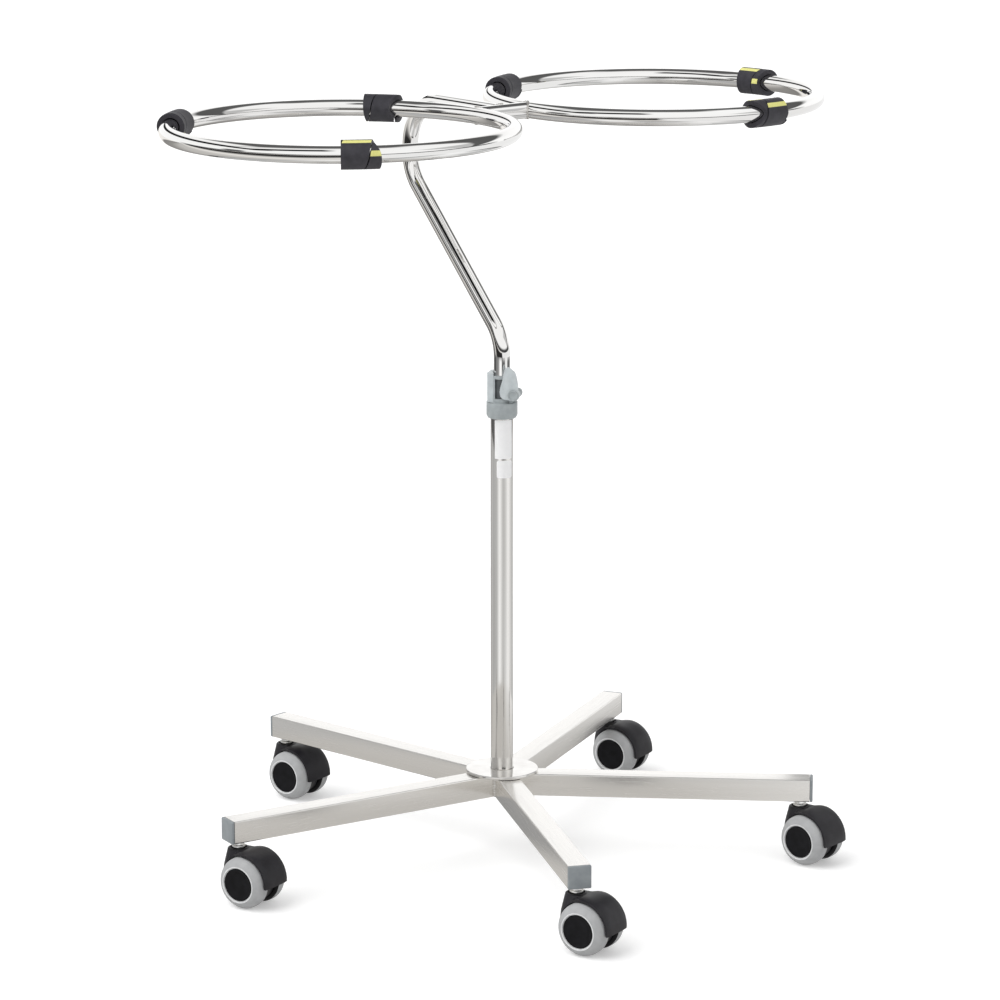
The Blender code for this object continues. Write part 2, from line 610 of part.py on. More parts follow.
def collar_mesh():
    """Collar on the column's top: a split neck, a tab, a window and the ear that the pin goes through."""
    bore = COLUMN_RADIUS + SEAT_GAP
    body = turned("clamp_collar", [
        (bore, COLLAR_FOOT), (bore, COLLAR_SEAT), (NECK_BORE, COLLAR_SEAT), (NECK_BORE, NECK_TOP),
        (NECK_RADIUS, NECK_TOP), (NECK_RADIUS, NECK_FOOT), (COLLAR_RADIUS, NECK_FOOT),
        (COLLAR_RADIUS, COLLAR_FOOT + COLLAR_CHAMFER),
        (COLLAR_RADIUS - COLLAR_CHAMFER / 2.0, COLLAR_FOOT)], FINE_SIDES)
    ear_side = NECK_BORE + SEAT_GAP
    ear_foot = NECK_FOOT - COLLAR_SHOULDER / 2.0
    ear_outline = [(ear_side, PIN_HEIGHT + EAR_RADIUS), (ear_side, ear_foot), (PIN_REACH - EAR_RADIUS, ear_foot)]
    ear_outline += circle_points(EAR_RADIUS, -math.pi / 4.0, math.pi / 2.0, ARC_STEPS, (PIN_REACH, PIN_HEIGHT))
    ear = extruded("ear", ear_outline, -EAR_NEAR, EAR_FAR)
    window = block("window", (-WINDOW_LEFT, -COLLAR_RADIUS, NECK_FOOT + WINDOW_LOW),
                   (WINDOW_RIGHT, -MAST_RADIUS / 2.0, NECK_FOOT + WINDOW_HIGH))
    split = block("split", (MAST_RADIUS / 2.0, -SPLIT_WIDTH / 2.0, NECK_FOOT),
                  (PIN_REACH + 2.0 * EAR_RADIUS, SPLIT_WIDTH / 2.0, NECK_TOP + EAR_RADIUS))
    pin_hole = rod("pin_hole", PIN_RADIUS + SEAT_GAP, -COLLAR_RADIUS, COLLAR_RADIUS, SMALL_SIDES)
    screw_hole = rod("screw_hole", SCREW_RADIUS + SEAT_GAP, COLUMN_BORE, 2.0 * COLLAR_RADIUS, SMALL_SIDES)
    screw_level = (COLLAR_FOOT + COLUMN_TOP) / 2.0
    places = {
        pin_hole: Matrix.Translation((PIN_REACH, 0.0, PIN_HEIGHT)) @ along_y(0.0),
        screw_hole: Matrix.Translation((0.0, 0.0, screw_level)) @ along_y(0.0),
    }
    return shaped(body, joined=(tab_mesh(), ear), cut=(window, split, pin_hole, screw_hole), places=places)


def lever_mesh():
    """Lever about its pin: a flat handle with a cam lobe, and a hub that reaches in to the ear."""
    outline = circle_points(LEVER_HUB, *LEVER_HUB_ARC, ARC_STEPS)
    outline += [*LEVER_OUTER_EDGE, *LEVER_TIP, *LEVER_CAM_EDGE]
    body = extruded("clamp_lever", outline, -LEVER_OUTER, -LEVER_INNER)
    hub_foot = EAR_NEAR + SEAT_GAP
    hub = rod("hub", LEVER_HUB - SEAT_GAP, -LEVER_INNER - LEVER_THICKNESS / 2.0, -hub_foot, FINE_SIDES)
    pin_hole = rod("pin_hole", PIN_RADIUS + RUNNING_GAP, -COLLAR_RADIUS - LEVER_HUB, COLLAR_RADIUS, SMALL_SIDES)
    places = {hub: along_y(0.0), pin_hole: along_y(0.0)}
    return shaped(body, joined=(hub,), cut=(pin_hole,), places=places)


def build_clamp(stand, grey, zinc):
    frame = empty("clamp_frame", (0.0, 0.0, 0.0), CLAMP_TURN, stand)
    piece("clamp_collar", collar_mesh(), grey, parent=frame)
    on_pin = (PIN_REACH, 0.0, PIN_HEIGHT)
    piece("clamp_lever", lever_mesh(), grey, on_pin, parent=frame)
    head_foot = LEVER_OUTER + SEAT_GAP
    head_top = head_foot + PIN_HEAD_HEIGHT
    nut_foot = EAR_FAR + SEAT_GAP
    nut_top = nut_foot + NUT_HEIGHT
    pin = turned("clamp_pin", [
        (0.0, -head_top), (PIN_HEAD_RADIUS - PIN_HEAD_HEIGHT / 3.0, -head_top),
        (PIN_HEAD_RADIUS, -head_top + PIN_HEAD_HEIGHT / 3.0), (PIN_HEAD_RADIUS, -head_foot),
        (PIN_RADIUS, -head_foot), (PIN_RADIUS, nut_top), (0.0, nut_top)], SMALL_SIDES)
    along = (math.radians(-90.0), 0.0, 0.0)
    piece("clamp_pin", pin, grey, on_pin, along, frame)
    nut = rod("clamp_nut", NUT_ACROSS / 2.0, nut_foot, nut_top, HEX_SIDES)
    hole = rod("nut_hole", PIN_RADIUS + SEAT_GAP, 0.0, 2.0 * nut_top, SMALL_SIDES)
    piece("clamp_nut", shaped(nut, cut=(hole,)), zinc, on_pin, along, frame)
    screw_near = COLUMN_RADIUS / math.cos(math.pi / FINE_SIDES) + SEAT_GAP
    screw = rod("clamp_screw", SCREW_RADIUS, screw_near, COLLAR_RADIUS, SMALL_SIDES)
    level = (0.0, 0.0, (COLLAR_FOOT + COLUMN_TOP) / 2.0)
    piece("clamp_screw", screw, zinc, level, along, frame)


# Mast, rings and sleeves

def mast_path():
    """Middle line of the mast in the YZ plane, as points with their directions."""
    corners = [
        Vector((0.0, 0.0, MAST_FOOT)),
        Vector((0.0, 0.0, MAST_CORNER)),
        Vector((0.0, MAST_OFFSET, MAST_CORNER + MAST_SWEEP_RISE)),
        Vector((0.0, MAST_OFFSET, RING_LEVEL)),
        Vector((0.0, 0.0, RING_LEVEL)),
    ]
    path = [(corners[0], (corners[1] - corners[0]).normalized())]
    for before, corner, after in zip(corners, corners[1:], corners[2:]):
        arrive = (corner - before).normalized()
        leave = (after - corner).normalized()
        angle = arrive.angle(leave)
        start = corner - arrive * (MAST_BEND_RADIUS * math.tan(angle / 2.0))
        inward = (leave - arrive * arrive.dot(leave)).normalized()
        for i in range(BEND_STEPS + 1):
            a = angle * i / BEND_STEPS
            point = start + arrive * (MAST_BEND_RADIUS * math.sin(a))
            point += inward * (MAST_BEND_RADIUS * (1.0 - math.cos(a)))
            path.append((point, arrive * math.cos(a) + inward * math.sin(a)))
    path.append((corners[-1], (corners[-1] - corners[-2]).normalized()))
    return path


def mast_mesh():
    """Bent tube whose far end is coped to sit on the cross tube."""
    bm = bmesh.new()
    across = Vector((1.0, 0.0, 0.0))
    skins = []
    for radius in (MAST_RADIUS, MAST_BORE):
        skins.append([tube_loop(bm, p, across, across.cross(d), radius, TUBE_SIDES) for p, d in mast_path()])
    loft(bm, skins[0] + skins[1][::-1], closed=True)
    bmesh.ops.recalc_face_normals(bm, faces=bm.faces)
    body = mesh_from(bm, "mast_tube")
    reach = BRIDGE_LENGTH
    cope = rod("cope", RING_TUBE_RADIUS / math.cos(math.pi / TUBE_SIDES) + SEAT_GAP, -reach, reach, FINE_SIDES)
    along_x = Matrix.Translation((0.0, 0.0, RING_LEVEL)) @ Matrix.Rotation(math.radians(90.0), 4, "Y")
    return shaped(body, cut=(cope,), places={cope: along_x})


def torus(bm, radius, steps, sides):
    """Closed loops of a tube bent into a full ring round Z."""
    loops = []
    up = Vector((0.0, 0.0, 1.0))
    for i in range(steps):
        angle = 2.0 * math.pi * i / steps
        out = Vector((math.cos(angle), math.sin(angle), 0.0))
        loops.append(tube_loop(bm, out * RING_RADIUS, out, up, radius, sides))
    loft(bm, loops, closed=True)


def torus_mesh(name, radius, steps, sides):
    bm = bmesh.new()
    torus(bm, radius, steps, sides)
    bmesh.ops.recalc_face_normals(bm, faces=bm.faces)
    return mesh_from(bm, name)


def ring_mesh(name, toward_bridge):
    """Hollow tube ring with a small vent where the cross tube is welded on."""
    bore_flats = (RING_TUBE_RADIUS - RING_WALL) * math.cos(math.pi / BORE_SIDES)
    bore = torus_mesh("bore", bore_flats, RING_STEPS, BORE_SIDES)
    vent_far = RING_RADIUS + 2.0 * RING_TUBE_RADIUS
    vent = rod("vent", RING_VENT_RADIUS, RING_RADIUS, vent_far, SMALL_SIDES)
    turn = Matrix.Rotation(toward_bridge, 4, "Z") @ Matrix.Rotation(math.radians(90.0), 4, "Y")
    body = torus_mesh(name, RING_TUBE_RADIUS, RING_STEPS, RING_SIDES)
    return shaped(body, cut=(bore, vent), places={vent: turn})


def bridge_mesh():
    """Cross tube between the rings, its ends coped to their round sides."""
    half = BRIDGE_LENGTH / 2.0 + RING_TUBE_RADIUS / 2.0
    bore = RING_TUBE_RADIUS - RING_WALL
    body = pipe("ring_bridge", RING_TUBE_RADIUS, bore, -half, half, TUBE_SIDES)
    body.transform(Matrix.Rotation(math.radians(90.0), 4, "Y"))
    cope_radius = RING_TUBE_RADIUS / math.cos(math.pi / RING_SIDES) + SEAT_GAP
    left = torus_mesh("left_cope", cope_radius, RING_STEPS, RING_SIDES)
    right = torus_mesh("right_cope", cope_radius, RING_STEPS, RING_SIDES)
    places = {left: Matrix.Translation((-RING_MIDDLE, 0.0, 0.0)), right: Matrix.Translation((RING_MIDDLE, 0.0, 0.0))}
    return shaped(body, cut=(left, right), places=places)


def sleeve_point(angle, along, radius):
    """A point of a sleeve bent round its ring: along the ring, and round the tube."""
    place = along / RING_RADIUS
    out = Vector((math.cos(place), math.sin(place), 0.0))
    return out * (RING_RADIUS + radius * math.cos(angle)) + Vector((0.0, 0.0, radius * math.sin(angle)))


def sleeve_edges(angle):
    """Near and far edge of the strip that a spiral slit leaves of a square-ended sleeve."""
    turn = angle / (2.0 * math.pi)
    near = max(0.0, SLEEVE_PITCH * (turn - 1.0) + SLEEVE_SLIT / 2.0)
    far = min(SLEEVE_LENGTH, SLEEVE_PITCH * turn - SLEEVE_SLIT / 2.0)
    return near - SLEEVE_LENGTH / 2.0, far - SLEEVE_LENGTH / 2.0


def sleeve_mesh():
    """Rubber sleeve cut in a spiral, so that it can be wound on to the ring."""
    first = 2.0 * math.pi * (SLEEVE_TIP + SLEEVE_SLIT / 2.0) / SLEEVE_PITCH
    last = 2.0 * math.pi * (1.0 + (SLEEVE_LENGTH - SLEEVE_TIP - SLEEVE_SLIT / 2.0) / SLEEVE_PITCH)
    count = math.ceil((last - first) / (2.0 * math.pi) * SLEEVE_STEPS)
    outer_radius = (SLEEVE_BORE + SLEEVE_WALL) / math.cos(math.pi / SLEEVE_STEPS)
    inner_radius = SLEEVE_BORE / math.cos(math.pi / SLEEVE_STEPS)
    bm = bmesh.new()
    loops = []
    for i in range(count + 1):
        angle = first + (last - first) * i / count
        near, far = sleeve_edges(angle)
        rows = [near, (near + far) / 2.0, far]
        corners = [sleeve_point(angle, along, inner_radius) for along in rows]
        corners += [sleeve_point(angle, along, outer_radius) for along in reversed(rows)]
        loops.append([bm.verts.new(corner) for corner in corners])
    bm.faces.new(loops[0])
    bm.faces.new(loops[-1])
    loft(bm, loops, closed=False)
    bmesh.ops.recalc_face_normals(bm, faces=bm.faces)
    return mesh_from(bm, "sleeve")


def build_mast(stand, chrome, nylon, rubber):
    spigot = MAST_BORE - RUNNING_GAP
    guide_top = GUIDE_FOOT + GUIDE_LENGTH
    guide = turned("mast_guide", [
        (0.0, GUIDE_FOOT), (COLUMN_BORE - RUNNING_GAP, GUIDE_FOOT), (COLUMN_BORE - RUNNING_GAP, guide_top),
        (spigot, guide_top), (spigot, guide_top + GUIDE_SPIGOT), (0.0, guide_top + GUIDE_SPIGOT)], FINE_SIDES)
    piece("mast_guide", guide, nylon, parent=stand)
    mast = empty("mast", (0.0, 0.0, 0.0), 0.0, stand)
    piece("mast_tube", mast_mesh(), chrome, parent=mast)
    piece("ring_bridge", bridge_mesh(), chrome, (0.0, 0.0, RING_LEVEL), parent=mast)
    left = (-RING_MIDDLE, 0.0, RING_LEVEL)
    right = (RING_MIDDLE, 0.0, RING_LEVEL)
    piece("ring_left", ring_mesh("ring_left", 0.0), chrome, left, parent=mast)
    piece("ring_right", ring_mesh("ring_right", math.pi), chrome, right, parent=mast)
    sleeve = sleeve_mesh()
    for hand, centre, angles in (("left", left, LEFT_SLEEVES), ("right", right, RIGHT_SLEEVES)):
        for number, degrees in enumerate(angles, start=1):
            turn = (0.0, 0.0, math.radians(degrees))
            piece(f"sleeve_{hand}_{number}", sleeve, rubber, centre, turn, mast)


# Whole stand

def centre_on_footprint(stand):
    """Move the stand so that the middle of its box from above is the origin."""
    bpy.context.view_layer.update()
    corners = []
    for part in bpy.data.objects:
        if part.type == "MESH":
            corners += [part.matrix_world @ vertex.co for vertex in part.data.vertices]
    middle_x = (min(c.x for c in corners) + max(c.x for c in corners)) / 2.0
    middle_y = (min(c.y for c in corners) + max(c.y for c in corners)) / 2.0
    stand.location = (-middle_x, -middle_y, 0.0)
    bpy.context.view_layer.update()


def main():
    clear_scene()
    satin = finish("satin_steel", (0.62, 0.60, 0.57), 0.28, 1.0)
    chrome = finish("bright_steel", (0.78, 0.78, 0.78), 0.08, 1.0)
    zinc = finish("zinc_steel", (0.55, 0.56, 0.57), 0.35, 1.0)
    grey = finish("grey_plastic", (0.27, 0.31, 0.32), 0.45, 0.0)
    black = finish("black_plastic", (0.02, 0.02, 0.022), 0.40, 0.0)
    tread = finish("grey_tread", (0.43, 0.46, 0.46), 0.60, 0.0)
    rubber = finish("black_rubber", (0.025, 0.025, 0.03), 0.65, 0.0)
    nylon = finish("white_nylon", (0.75, 0.75, 0.72), 0.50, 0.0)
    stand = empty("stand", (0.0, 0.0, 0.0))
    build_base(stand, satin, grey)
    build_castors(stand, chrome, black, tread)
    build_column(stand, satin, zinc, nylon)
    build_clamp(stand, grey, zinc)
    build_mast(stand, chrome, nylon, rubber)
    centre_on_footprint(stand)
    print("column axis at", [round(value, 5) for value in stand.location])
    print("rings at", round(RING_MIDDLE, 5), "level", round(RING_LEVEL, 5))
    print("clamp pin at", round(PIN_REACH, 5), round(PIN_HEIGHT, 5), "axle at", CASTOR_TRAIL, AXLE_HEIGHT)


main()
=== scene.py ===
# %% [markdown]
# # A wheeled stand for two wash basins
#
# The real object holds two round basins side by side. Five square steel legs on twin-wheel castors
# carry a round column. A bent, bright tube slides in the column, is held by a plastic clamp, and ends
# in a pair of tube rings. Black rubber sleeves on the rings keep the basins from slipping.
#
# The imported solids, called the frame here, already have every size. They could be shown as they are,
# but their round pieces are faceted. This lesson keeps the frame as the skeleton, makes finer pieces
# over it, and gives every surface the finish that the real one has.

# %% Load the frame
import math

import bmesh
import bpy
from mathutils import Matrix, Vector


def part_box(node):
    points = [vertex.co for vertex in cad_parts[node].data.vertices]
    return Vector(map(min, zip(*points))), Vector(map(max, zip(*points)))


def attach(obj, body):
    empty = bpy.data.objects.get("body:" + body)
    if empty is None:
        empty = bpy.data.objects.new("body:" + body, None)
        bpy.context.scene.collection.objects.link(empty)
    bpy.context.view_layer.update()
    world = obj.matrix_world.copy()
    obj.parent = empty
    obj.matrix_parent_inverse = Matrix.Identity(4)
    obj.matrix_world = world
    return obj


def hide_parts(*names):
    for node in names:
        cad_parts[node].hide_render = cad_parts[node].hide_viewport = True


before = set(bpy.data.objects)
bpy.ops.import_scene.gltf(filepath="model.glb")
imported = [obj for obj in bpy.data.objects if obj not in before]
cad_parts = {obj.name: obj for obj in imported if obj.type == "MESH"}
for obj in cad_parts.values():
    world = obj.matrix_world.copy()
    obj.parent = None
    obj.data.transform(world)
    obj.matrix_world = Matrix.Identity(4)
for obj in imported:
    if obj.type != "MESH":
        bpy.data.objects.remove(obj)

scene = bpy.context.scene
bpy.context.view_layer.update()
print("solids in the frame:", len(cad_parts))

# %% [markdown]
# Every piece goes where its solid is. A solid's box gives its middle and its levels, so the places
# below are read from the frame and not typed again. The column's axis is the line that most other
# places are measured from.

# %% Read the main places
def middle_of(node):
    low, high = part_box(node)
    return (low + high) / 2.0


def levels_of(node):
    low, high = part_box(node)
    return low.z, high.z


axis = middle_of("column_tube")
axis.z = 0.0
ring_level = middle_of("ring_bridge").z
print("column axis:", tuple(round(value, 4) for value in axis), "rings at", round(ring_level, 4))

# %% [markdown]
# The camera comes early, because every later look is judged through it. A long lens from almost four
# metres away keeps the legs nearly parallel. The lens is worked out from a focal length in pixels, for
# a picture that is 1000 pixels wide. The column stands a hair to the right of the middle, so the
# camera is turned that little bit to the left.

# %% Camera
PICTURE_WIDTH = 1000
FOCAL_PIXELS = 3926.9
CAMERA_FROM_AXIS = Vector((-2.3557, -2.8620, 1.2240))
CAMERA_TILT = math.radians(13.18)
CAMERA_TURN = math.radians(0.03)

camera_data = bpy.data.cameras.new("studio_camera")
camera_data.sensor_width = 36.0
camera_data.lens = FOCAL_PIXELS * camera_data.sensor_width / PICTURE_WIDTH
camera = bpy.data.objects.new("studio_camera", camera_data)
scene.collection.objects.link(camera)
camera.location = axis + CAMERA_FROM_AXIS
toward_axis = Vector((-CAMERA_FROM_AXIS.x, -CAMERA_FROM_AXIS.y, 0.0)).normalized()
toward_axis.rotate(Matrix.Rotation(CAMERA_TURN, 3, "Z"))
looking = toward_axis * math.cos(CAMERA_TILT) - Vector((0.0, 0.0, math.sin(CAMERA_TILT)))
camera.rotation_euler = looking.to_track_quat("-Z", "Y").to_euler()
scene.camera = camera
print("lens:", round(camera_data.lens, 1), "mm")

# %% [markdown]
# A finish is a small node tree. Real metal, plastic and rubber are never one flat colour: there are
# slow clouds of tone from handling and moulding, and fast grain from polishing or texture. Both come
# from noise here. The clouds drive the colour, the grain drives roughness and a very shallow bump.
# An image could do this too, but noise needs no file and never repeats.

# %% Helpers for finishes
def add(tree, kind, values=(), **settings):
    """One node, with its settings and the values of its unlinked inputs."""
    made = tree.nodes.new(kind)
    for name, value in settings.items():
        setattr(made, name, value)
    for name, value in dict(values).items():
        made.inputs[name].default_value = value
    return made


def wire(tree, *pairs):
    for source, target in pairs:
        tree.links.new(source, target)


def two_tones(tree, source, dark, light, low=0.35, high=0.65):
    """A ramp from one colour to another over part of a 0 to 1 signal."""
    ramp = add(tree, "ShaderNodeValToRGB")
    first, last = ramp.color_ramp.elements
    first.position, last.position = low, high
    first.color, last.color = (*dark, 1.0), (*light, 1.0)
    wire(tree, (source, ramp.inputs["Fac"]))
    return ramp.outputs["Color"]


def surface(name, dark, light, rough, fine, coarse, bump, metallic=0.0, grain=None, squeeze=(1.0, 1.0, 1.0),
            shine=0.5):
    """A finish with clouds of tone and fine grain. It reads Object coordinates or a piece's own grain."""
    material = bpy.data.materials.new(name)
    material.use_nodes = True
    tree = material.node_tree
    shader = tree.nodes["Principled BSDF"]
    shader.inputs["Metallic"].default_value = metallic
    shader.inputs["Specular IOR Level"].default_value = shine
    if grain:
        place = add(tree, "ShaderNodeAttribute", attribute_name=grain).outputs["Vector"]
    else:
        place = add(tree, "ShaderNodeTexCoord").outputs["Object"]
    squeezed = add(tree, "ShaderNodeMapping", {"Scale": squeeze})
    clouds = add(tree, "ShaderNodeTexNoise", {"Scale": coarse, "Detail": 3.0})
    grains = add(tree, "ShaderNodeTexNoise", {"Scale": fine, "Detail": 4.0})
    gloss = add(tree, "ShaderNodeMapRange", {"From Min": 0.3, "From Max": 0.7,
                                             "To Min": rough[0], "To Max": rough[1]})
    relief = add(tree, "ShaderNodeBump", {"Strength": 0.5, "Distance": bump})
    wire(tree,
         (place, squeezed.inputs["Vector"]), (squeezed.outputs["Vector"], clouds.inputs["Vector"]),
         (squeezed.outputs["Vector"], grains.inputs["Vector"]), (grains.outputs["Fac"], gloss.inputs["Value"]),
         (gloss.outputs["Result"], shader.inputs["Roughness"]), (grains.outputs["Fac"], relief.inputs["Height"]),
         (relief.outputs["Normal"], shader.inputs["Normal"]),
         (two_tones(tree, clouds.outputs["Fac"], dark, light), shader.inputs["Base Color"]))
    return material


print("finish helpers: nodes, wires, ramps and a whole surface")

# %% [markdown]
# The metal finishes. The rings and the mast are drawn tube polished to a mirror, with faint lines that
# run along the tube. The legs are brushed along their length, so their grain is squeezed that way. The
# column is polished less than the mast, and small fittings are zinc plated.

# %% Metal finishes
bright_tube = surface("bright_tube", (0.77, 0.76, 0.75), (0.84, 0.84, 0.83), (0.015, 0.045), 900.0, 60.0, 0.000004,
                      metallic=1.0, grain="grain")
brushed_leg = surface("brushed_leg", (0.82, 0.805, 0.78), (0.86, 0.845, 0.82), (0.20, 0.28), 1500.0, 90.0, 0.00001,
                      metallic=1.0, grain="grain")
polished_column = surface("polished_column", (0.76, 0.745, 0.72), (0.83, 0.82, 0.80), (0.06, 0.11), 1100.0, 130.0,
                          0.00001, metallic=1.0, squeeze=(1.0, 1.0, 0.03))
polished_disc = surface("polished_disc", (0.72, 0.70, 0.68), (0.82, 0.81, 0.79), (0.05, 0.11), 700.0, 40.0, 0.00001,
                        metallic=1.0)
zinc_fitting = surface("zinc_fitting", (0.48, 0.49, 0.50), (0.62, 0.63, 0.64), (0.28, 0.46), 800.0, 120.0, 0.00002,
                       metallic=1.0)
weld_steel = surface("weld_steel", (0.58, 0.56, 0.53), (0.76, 0.75, 0.73), (0.14, 0.30), 1200.0, 300.0, 0.00003,
                     metallic=1.0)
print("metal finishes made")

# %% [markdown]
# The plastics and rubbers. The clamp and the leg caps are blue-grey mouldings with a fine spark-eroded
# texture. The castor hoods are charcoal, the treads soft grey, and the wheel discs almost black. The
# labels are plain white film.

# %% Plastic and rubber finishes
clamp_grey = surface("clamp_grey", (0.34, 0.375, 0.385), (0.41, 0.445, 0.455), (0.38, 0.52), 1400.0, 160.0, 0.00004)
# painted light: a paler copy of the clamp grey for the handle and the tab, as if lit more from the upper left
painted_lit_grey = surface("painted_lit_grey", (0.50, 0.545, 0.56), (0.58, 0.625, 0.64), (0.36, 0.50), 1400.0, 160.0, 0.00004)
cap_grey = surface("cap_grey", (0.235, 0.260, 0.275), (0.275, 0.300, 0.315), (0.36, 0.50), 1400.0, 120.0, 0.00004)
hood_black = surface("hood_black", (0.013, 0.012, 0.015), (0.019, 0.018, 0.022), (0.34, 0.48), 1600.0, 110.0, 0.00005,
                     shine=0.3)
tread_grey = surface("tread_grey", (0.39, 0.395, 0.40), (0.435, 0.44, 0.445), (0.50, 0.66), 1300.0, 140.0, 0.00004)
disc_black = surface("disc_black", (0.004, 0.004, 0.005), (0.008, 0.008, 0.010), (0.40, 0.55), 1500.0, 130.0, 0.00004,
                     shine=0.15)
label_film = surface("label_film", (0.92, 0.92, 0.925), (0.95, 0.95, 0.95), (0.30, 0.42), 900.0, 200.0, 0.00001)
nylon = surface("nylon", (0.70, 0.70, 0.67), (0.78, 0.78, 0.75), (0.42, 0.55), 900.0, 140.0, 0.00003)
print("plastic and rubber finishes made")

# %% [markdown]
# Making a piece always ends the same way: a mesh becomes an object at the origin, rides on the body
# that carries it, and stands for the solid that it covers. One function does that, so that no piece
# is left behind when a joint moves.

# %% Helpers for pieces
def dress(name, mesh, body, stands_for=(), finish=None):
    """Show a mesh as a piece that rides on a body and stands for solids of the frame."""
    piece = bpy.data.objects.new(name, mesh)
    scene.collection.objects.link(piece)
    if finish is not None:
        mesh.materials.clear()
        mesh.materials.append(finish)
    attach(piece, body)
    if stands_for:
        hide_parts(*stands_for)
    return piece


def to_mesh(bm, name, sharp=40.0):
    """Keep a bmesh as a smooth mesh, with its crisp edges marked."""
    bmesh.ops.recalc_face_normals(bm, faces=bm.faces)
    mesh = bpy.data.meshes.new(name)
    bm.to_mesh(mesh)
    bm.free()
    mesh.shade_smooth()
    mesh.set_sharp_from_angle(angle=math.radians(sharp))
    return mesh


def placed(pattern, place):
    """A copy of a mesh, moved to its place."""
    mesh = pattern.copy()
    mesh.transform(place)
    return mesh


print("piece helpers: dress, keep as a mesh, copy into place")

# %% [markdown]
# Most pieces here are rows of points with faces between neighbouring rows, which is how a loft or a lathe
# works. Blender's Spin and Screw would do for the turned ones, but they leave seams to merge. With the rows
# at hand, every shape is closed from the start, and its corners are rounded before it is built.

# %% Helpers for shapes
def softened(points, radius, steps=3, closed=False):
    """Round the corners of an outline."""
    rounded = []
    for i, point in enumerate(points):
        if not closed and i in (0, len(points) - 1):
            rounded.append(tuple(point))
            continue
        here = Vector(point)
        back = Vector(points[i - 1]) - here
        ahead = Vector(points[(i + 1) % len(points)]) - here
        reach = min(radius, back.length * 0.45, ahead.length * 0.45)
        start = here + back.normalized() * reach
        end = here + ahead.normalized() * reach
        for k in range(steps + 1):
            t = k / steps
            rounded.append(tuple(start * (1.0 - t) ** 2 + here * (2.0 * t * (1.0 - t)) + end * t ** 2))
    return rounded


def skin(bm, loops, closed):
    """Faces between neighbouring loops; a loop of one point is a pole."""
    pairs = list(zip(loops, loops[1:]))
    if closed:
        pairs.append((loops[-1], loops[0]))
    for low, high in pairs:
        count = max(len(low), len(high))
        for i in range(count):
            j = (i + 1) % count
            if len(low) == 1:
                bm.faces.new((low[0], high[j], high[i]))
            elif len(high) == 1:
                bm.faces.new((low[i], low[j], high[0]))
            else:
                bm.faces.new((low[i], low[j], high[j], high[i]))


def capped(bm, loops):
    """Close both ends of a row of loops, and the sides between them."""
    bm.faces.new(loops[0])
    bm.faces.new(loops[-1])
    skin(bm, loops, closed=False)


def lathe(name, profile, sides=96):
    """Turn (radius, height) points about Z. A profile that starts off the axis closes on itself."""
    bm = bmesh.new()
    loops = []
    for radius, height in profile:
        if radius == 0.0:
            loops.append([bm.verts.new((0.0, 0.0, height))])
            continue
        turns = [2.0 * math.pi * i / sides for i in range(sides)]
        loops.append([bm.verts.new((radius * math.cos(a), radius * math.sin(a), height)) for a in turns])
    skin(bm, loops, closed=profile[0][0] > 0.0)
    return to_mesh(bm, name)


print("shape helpers: soften, skin, cap, lathe")

# %% [markdown]
# The star base first. A leg is a square tube with small rolled corners, open at the hub end and closed
# by a cap at the other. It could be a cube with a bevel, but a lofted outline gives the wall thickness
# and the corner radius straight from the real sizes. Before the leg is turned into place, each point's
# own position is kept as its grain, squeezed along the leg, and the brushed finish follows it.

# %% Legs
LEG_COUNT = 5
FIRST_LEG = math.radians(28.03)
LEG_HALF = 0.011
LEG_WALL = 0.0015
LEG_CORNER = 0.0012
LEG_NEAR = 0.0157
LEG_END = 0.3025


def square_outline(half, corner, steps=5):
    return softened([(-half, -half), (half, -half), (half, half), (-half, half)], corner, steps, closed=True)


def keep_grain(mesh, squeeze):
    """Write each point's place as its grain, before the piece is turned into position."""
    grain = mesh.attributes.new("grain", "FLOAT_VECTOR", "POINT")
    for note, vertex in zip(grain.data, mesh.vertices):
        note.vector = [value * scale for value, scale in zip(vertex.co, squeeze)]


def leg_tube():
    rows = [(LEG_NEAR, LEG_HALF, LEG_CORNER), (LEG_END, LEG_HALF, LEG_CORNER),
            (LEG_END, LEG_HALF - LEG_WALL, LEG_CORNER / 3.0), (LEG_NEAR, LEG_HALF - LEG_WALL, LEG_CORNER / 3.0)]
    bm = bmesh.new()
    loops = []
    for x, half, corner in rows:
        loops.append([bm.verts.new((x, across, up)) for across, up in square_outline(half, corner)])
    skin(bm, loops, closed=True)
    mesh = to_mesh(bm, "leg_tube", 50.0)
    keep_grain(mesh, (0.02, 1.0, 1.0))
    return mesh


leg_level = middle_of("leg_1").z
hub_middle = Matrix.Translation(axis + Vector((0.0, 0.0, leg_level)))
leg_turns = [FIRST_LEG + 2.0 * math.pi * i / LEG_COUNT for i in range(LEG_COUNT)]
leg_places = [hub_middle @ Matrix.Rotation(turn, 4, "Z") for turn in leg_turns]
leg_pattern = leg_tube()
for number, place in enumerate(leg_places, start=1):
    mesh = placed(leg_pattern, place)
    dress(f"leg_tube_{number}", mesh, "base", [f"leg_{number}"], brushed_leg)
print("legs:", LEG_COUNT, "of", round(LEG_END - LEG_NEAR, 3), "m")

# %% [markdown]
# A cap closes the end of each leg: a thin plate with eased edges, and a plug that grips the inside of
# the tube. One loft of square outlines along the leg makes plate and plug together.

# %% Leg caps
CAP_FACE = 0.3055
CAP_BACK = LEG_END + 0.0003
CAP_EASE = 0.0009
PLUG_HALF = LEG_HALF - LEG_WALL - 0.0003
PLUG_LENGTH = 0.026


